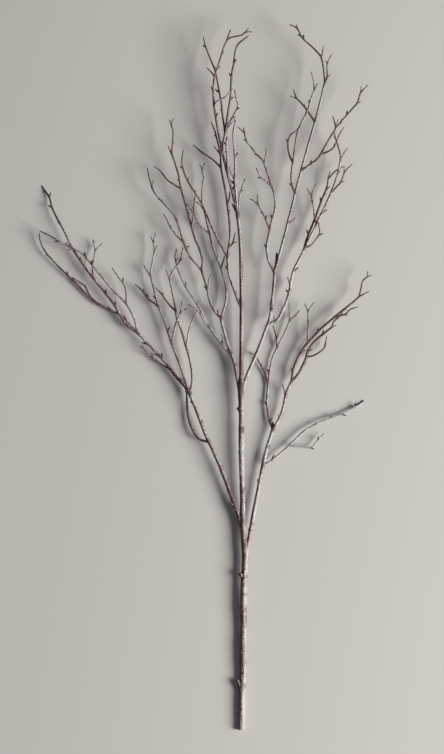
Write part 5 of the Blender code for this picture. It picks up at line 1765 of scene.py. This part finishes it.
@dataclass(frozen=True)
class BudFinish:
    """Glossy, dark red-brown bud scales with paler margins."""

    base: Triple = (0.032, 0.011, 0.012)
    scale: Triple = (0.085, 0.028, 0.026)
    margin: Triple = (0.17, 0.085, 0.07)
    stops: Triple = (0.3, 0.6, 0.85)
    cloud_grain: Grain = ((0.9, 0.9, 0.6), 3.0)
    relief_grain: Grain = ((2.5, 2.5, 0.8), 2.0)
    relief: Pair = (0.08, 0.5)
    gloss: float = 0.38
    coat: float = 0.15

    def material(self) -> bpy.types.Material:
        """Builds the buds' shader.

        Returns:
            The material.
        """
        board = NodeBoard("dark_bud_scales")
        grown = board.attribute("grown")
        cloud = board.clouds(grown, self.cloud_grain)
        colour = board.ramp(cloud, self.stops, (self.base, self.scale, self.margin))
        board.show(colour, "Base Color")
        board.set(Roughness=self.gloss, Coat_Weight=self.coat)
        board.bump(board.clouds(grown, self.relief_grain), *self.relief)
        return board.material


@dataclass(frozen=True)
class WoodFinish:
    """Dry, pale wood of the slanting cut, with growth rings and a brown pith."""

    pale: Triple = (0.50, 0.40, 0.33)
    ring: Triple = (0.33, 0.23, 0.18)
    pith: Triple = (0.14, 0.08, 0.06)
    wobble_grain: Pair = (0.8, 2.0)
    wobble: float = 0.9
    ring_pace: float = 7.5
    ring_limits: Pair = (0.2, 1.0)
    pith_limits: Pair = (0.35, 0.8)
    relief: Pair = (0.05, 0.5)
    gloss: float = 0.72

    def material(self) -> bpy.types.Material:
        """Builds the shader of bare wood.

        Returns:
            The material.
        """
        board = NodeBoard("cut_and_torn_wood")
        across = board.stretched(board.attribute("grown"), (1.0, 1.0, 0.0))
        length = board.wire("VectorMath", {0: across}, "Value", operation="LENGTH")
        wobble = board.times(board.noise(across, *self.wobble_grain), self.wobble)
        far = board.math("ADD", length, wobble)
        rings = board.math("SINE", board.times(far, self.ring_pace), 0.0)
        colour = board.mix(board.fade(rings, self.ring_limits), self.pale, self.ring)
        core = board.math("SUBTRACT", 1.0, board.fade(length, self.pith_limits))
        board.show(board.mix(core, colour, self.pith), "Base Color")
        board.set(Roughness=self.gloss)
        board.bump(rings, *self.relief)
        return board.material


@dataclass
class Branch:
    """Grows the bark, buds and knobs of all limbs and joins them into the pieces of the scene."""

    bark: BarkMaker = field(default_factory=BarkMaker)
    buds: BudMaker = field(default_factory=BudMaker)
    smooth_angle: float = math.radians(52.0)

    def build(self) -> list[bpy.types.Object]:
        """Builds every piece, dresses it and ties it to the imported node.

        Returns:
            The finished pieces.
        """
        limbs = Skeleton().grow()
        materials = [finish().material() for finish in (BarkFinish, BudFinish, WoodFinish)]
        self.buds.model()
        pieces = []
        for name in PIECES:
            members = [grown for grown in limbs.values() if grown.piece == name]
            piece = self._join(name, members, materials)
            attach(piece, "root")
            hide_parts(NODE)
            LOG.info("%s: %d limbs, %d faces", name, len(members), len(piece.data.polygons))
            pieces.append(piece)
        self.buds.remove_masters()
        return pieces

    def _join(
        self, name: str, members: list[GrownLimb], materials: list[bpy.types.Material]
    ) -> bpy.types.Object:
        """Grows the members together into one closed piece.

        Args:
            name: The piece's name.
            members: Its limbs, parents first.
            materials: The three finishes, in the order of Skin.

        Returns:
            The piece, with its place in its mesh.
        """
        self.bark.draw = self.buds.draw = random.Random(f"{name} {SEED}")
        parts = [self.bark.make(grown) for grown in members]
        for grown in members:
            parts += self.buds.set_on(grown)
        for part in parts:
            for material in materials:
                part.data.materials.append(material)
        base, others = parts[0], parts[1:]
        group = bpy.data.collections.new(name + "_parts")
        bpy.context.scene.collection.children.link(group)
        for other in others:
            for holder in list(other.users_collection):
                holder.objects.unlink(other)
            group.objects.link(other)
        deselect_all()
        base.select_set(True)
        bpy.context.view_layer.objects.active = base
        union = base.modifiers.new("grow together", "BOOLEAN")
        union.operation = "UNION"
        union.operand_type = "COLLECTION"
        union.collection = group
        union.solver = "MANIFOLD"
        bpy.ops.object.modifier_apply(modifier=union.name)
        for other in others:
            bpy.data.objects.remove(other, do_unlink=True)
        bpy.data.collections.remove(group)
        for vertex in base.data.vertices:
            vertex.co.z = max(vertex.co.z, 0.0)
        base.name = name
        base.data.name = name
        bpy.ops.object.shade_smooth_by_angle(angle=self.smooth_angle)
        return base


@dataclass(frozen=True)
class SoftLight:
    """A square light, unseen itself, that shines on the middle of the branch. Lengths are metres."""

    name: str
    place: Triple
    size: float
    power: float
    colour: Triple

    def hang(self) -> None:
        """Adds the light to the scene."""
        data = bpy.data.lights.new(self.name, "AREA")
        data.energy = self.power
        data.size = self.size
        data.color = self.colour
        light = bpy.data.objects.new(self.name, data)
        light.location = self.place
        light.rotation_euler = (-Vector(self.place)).to_track_quat("-Z", "Y").to_euler()
        light.visible_camera = False
        bpy.context.scene.collection.objects.link(light)


@dataclass
class Studio:
    """A pale floor, soft lights and the camera that looks straight down at the branch.

    floor_size, floor_height and clip_end are metres. The camera's numbers are millimetres.
    """

    floor_size: float = 14.0
    floor_height: float = -0.0002
    floor_colour: Triple = (0.51, 0.498, 0.48)
    floor_gloss: float = 0.9
    lights: tuple[SoftLight, ...] = (
        SoftLight("key_light", (3.9, -1.1, 2.35), 2.3, 412.0, (1.0, 0.965, 0.93)),
        SoftLight("top_fill", (0.2, 0.3, 3.4), 2.2, 7.0, (0.95, 0.97, 1.0)))
    air_colour: Triple = (0.93, 0.95, 1.0)
    air_strength: float = 0.08
    view_centre: Pair = (21.7, 1.9)
    view_height: float = 982.2
    focus_height: float = 15.0
    lens: float = 250.0
    sensor: float = 36.0
    clip_end: float = 100.0

    def build(self) -> None:
        """Adds the floor, the lights, the light of the air and the camera."""
        self._floor()
        for light in self.lights:
            light.hang()
        world = bpy.data.worlds.new("studio_air")
        world.use_nodes = True
        backdrop = world.node_tree.nodes["Background"]
        backdrop.inputs["Color"].default_value = (*self.air_colour, 1.0)
        backdrop.inputs["Strength"].default_value = self.air_strength
        bpy.context.scene.world = world
        bpy.context.scene.view_settings.view_transform = "Standard"
        self._camera()

    def _floor(self) -> None:
        """Lays a plain pale floor, just under the branch."""
        deselect_all()
        bpy.ops.mesh.primitive_plane_add(size=self.floor_size, location=(0.0, 0.0, self.floor_height))
        floor = bpy.context.object
        floor.name = "studio_floor"
        board = NodeBoard("pale_floor")
        board.set(Base_Color=(*self.floor_colour, 1.0), Roughness=self.floor_gloss)
        floor.data.materials.append(board.material)
        floor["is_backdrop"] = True

    def _camera(self) -> None:
        """Hangs a long lens straight above, with the tips at the top of the picture."""
        data = bpy.data.cameras.new("camera")
        data.lens = self.lens
        data.sensor_width = self.sensor
        data.clip_end = self.clip_end
        camera = bpy.data.objects.new("camera", data)
        x, y = self.view_centre
        distance = self.view_height * self.lens / self.sensor
        camera.location = (x * MM, y * MM, (distance + self.focus_height) * MM)
        bpy.context.scene.collection.objects.link(camera)
        bpy.context.scene.camera = camera


def main() -> None:
    """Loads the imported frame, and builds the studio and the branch."""
    logging.basicConfig(level=logging.INFO, format="%(name)s %(message)s")
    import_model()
    packed_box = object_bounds()
    Studio().build()
    pieces = Branch().build()
    LOG.info("%d pieces", len(pieces))
    visual_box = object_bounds()
    boxes = {"cad": packed_box, "visual": visual_box}
    boxes = {name: [list(corner) for corner in box] for name, box in boxes.items()}


if __name__ == "__main__":
    main()
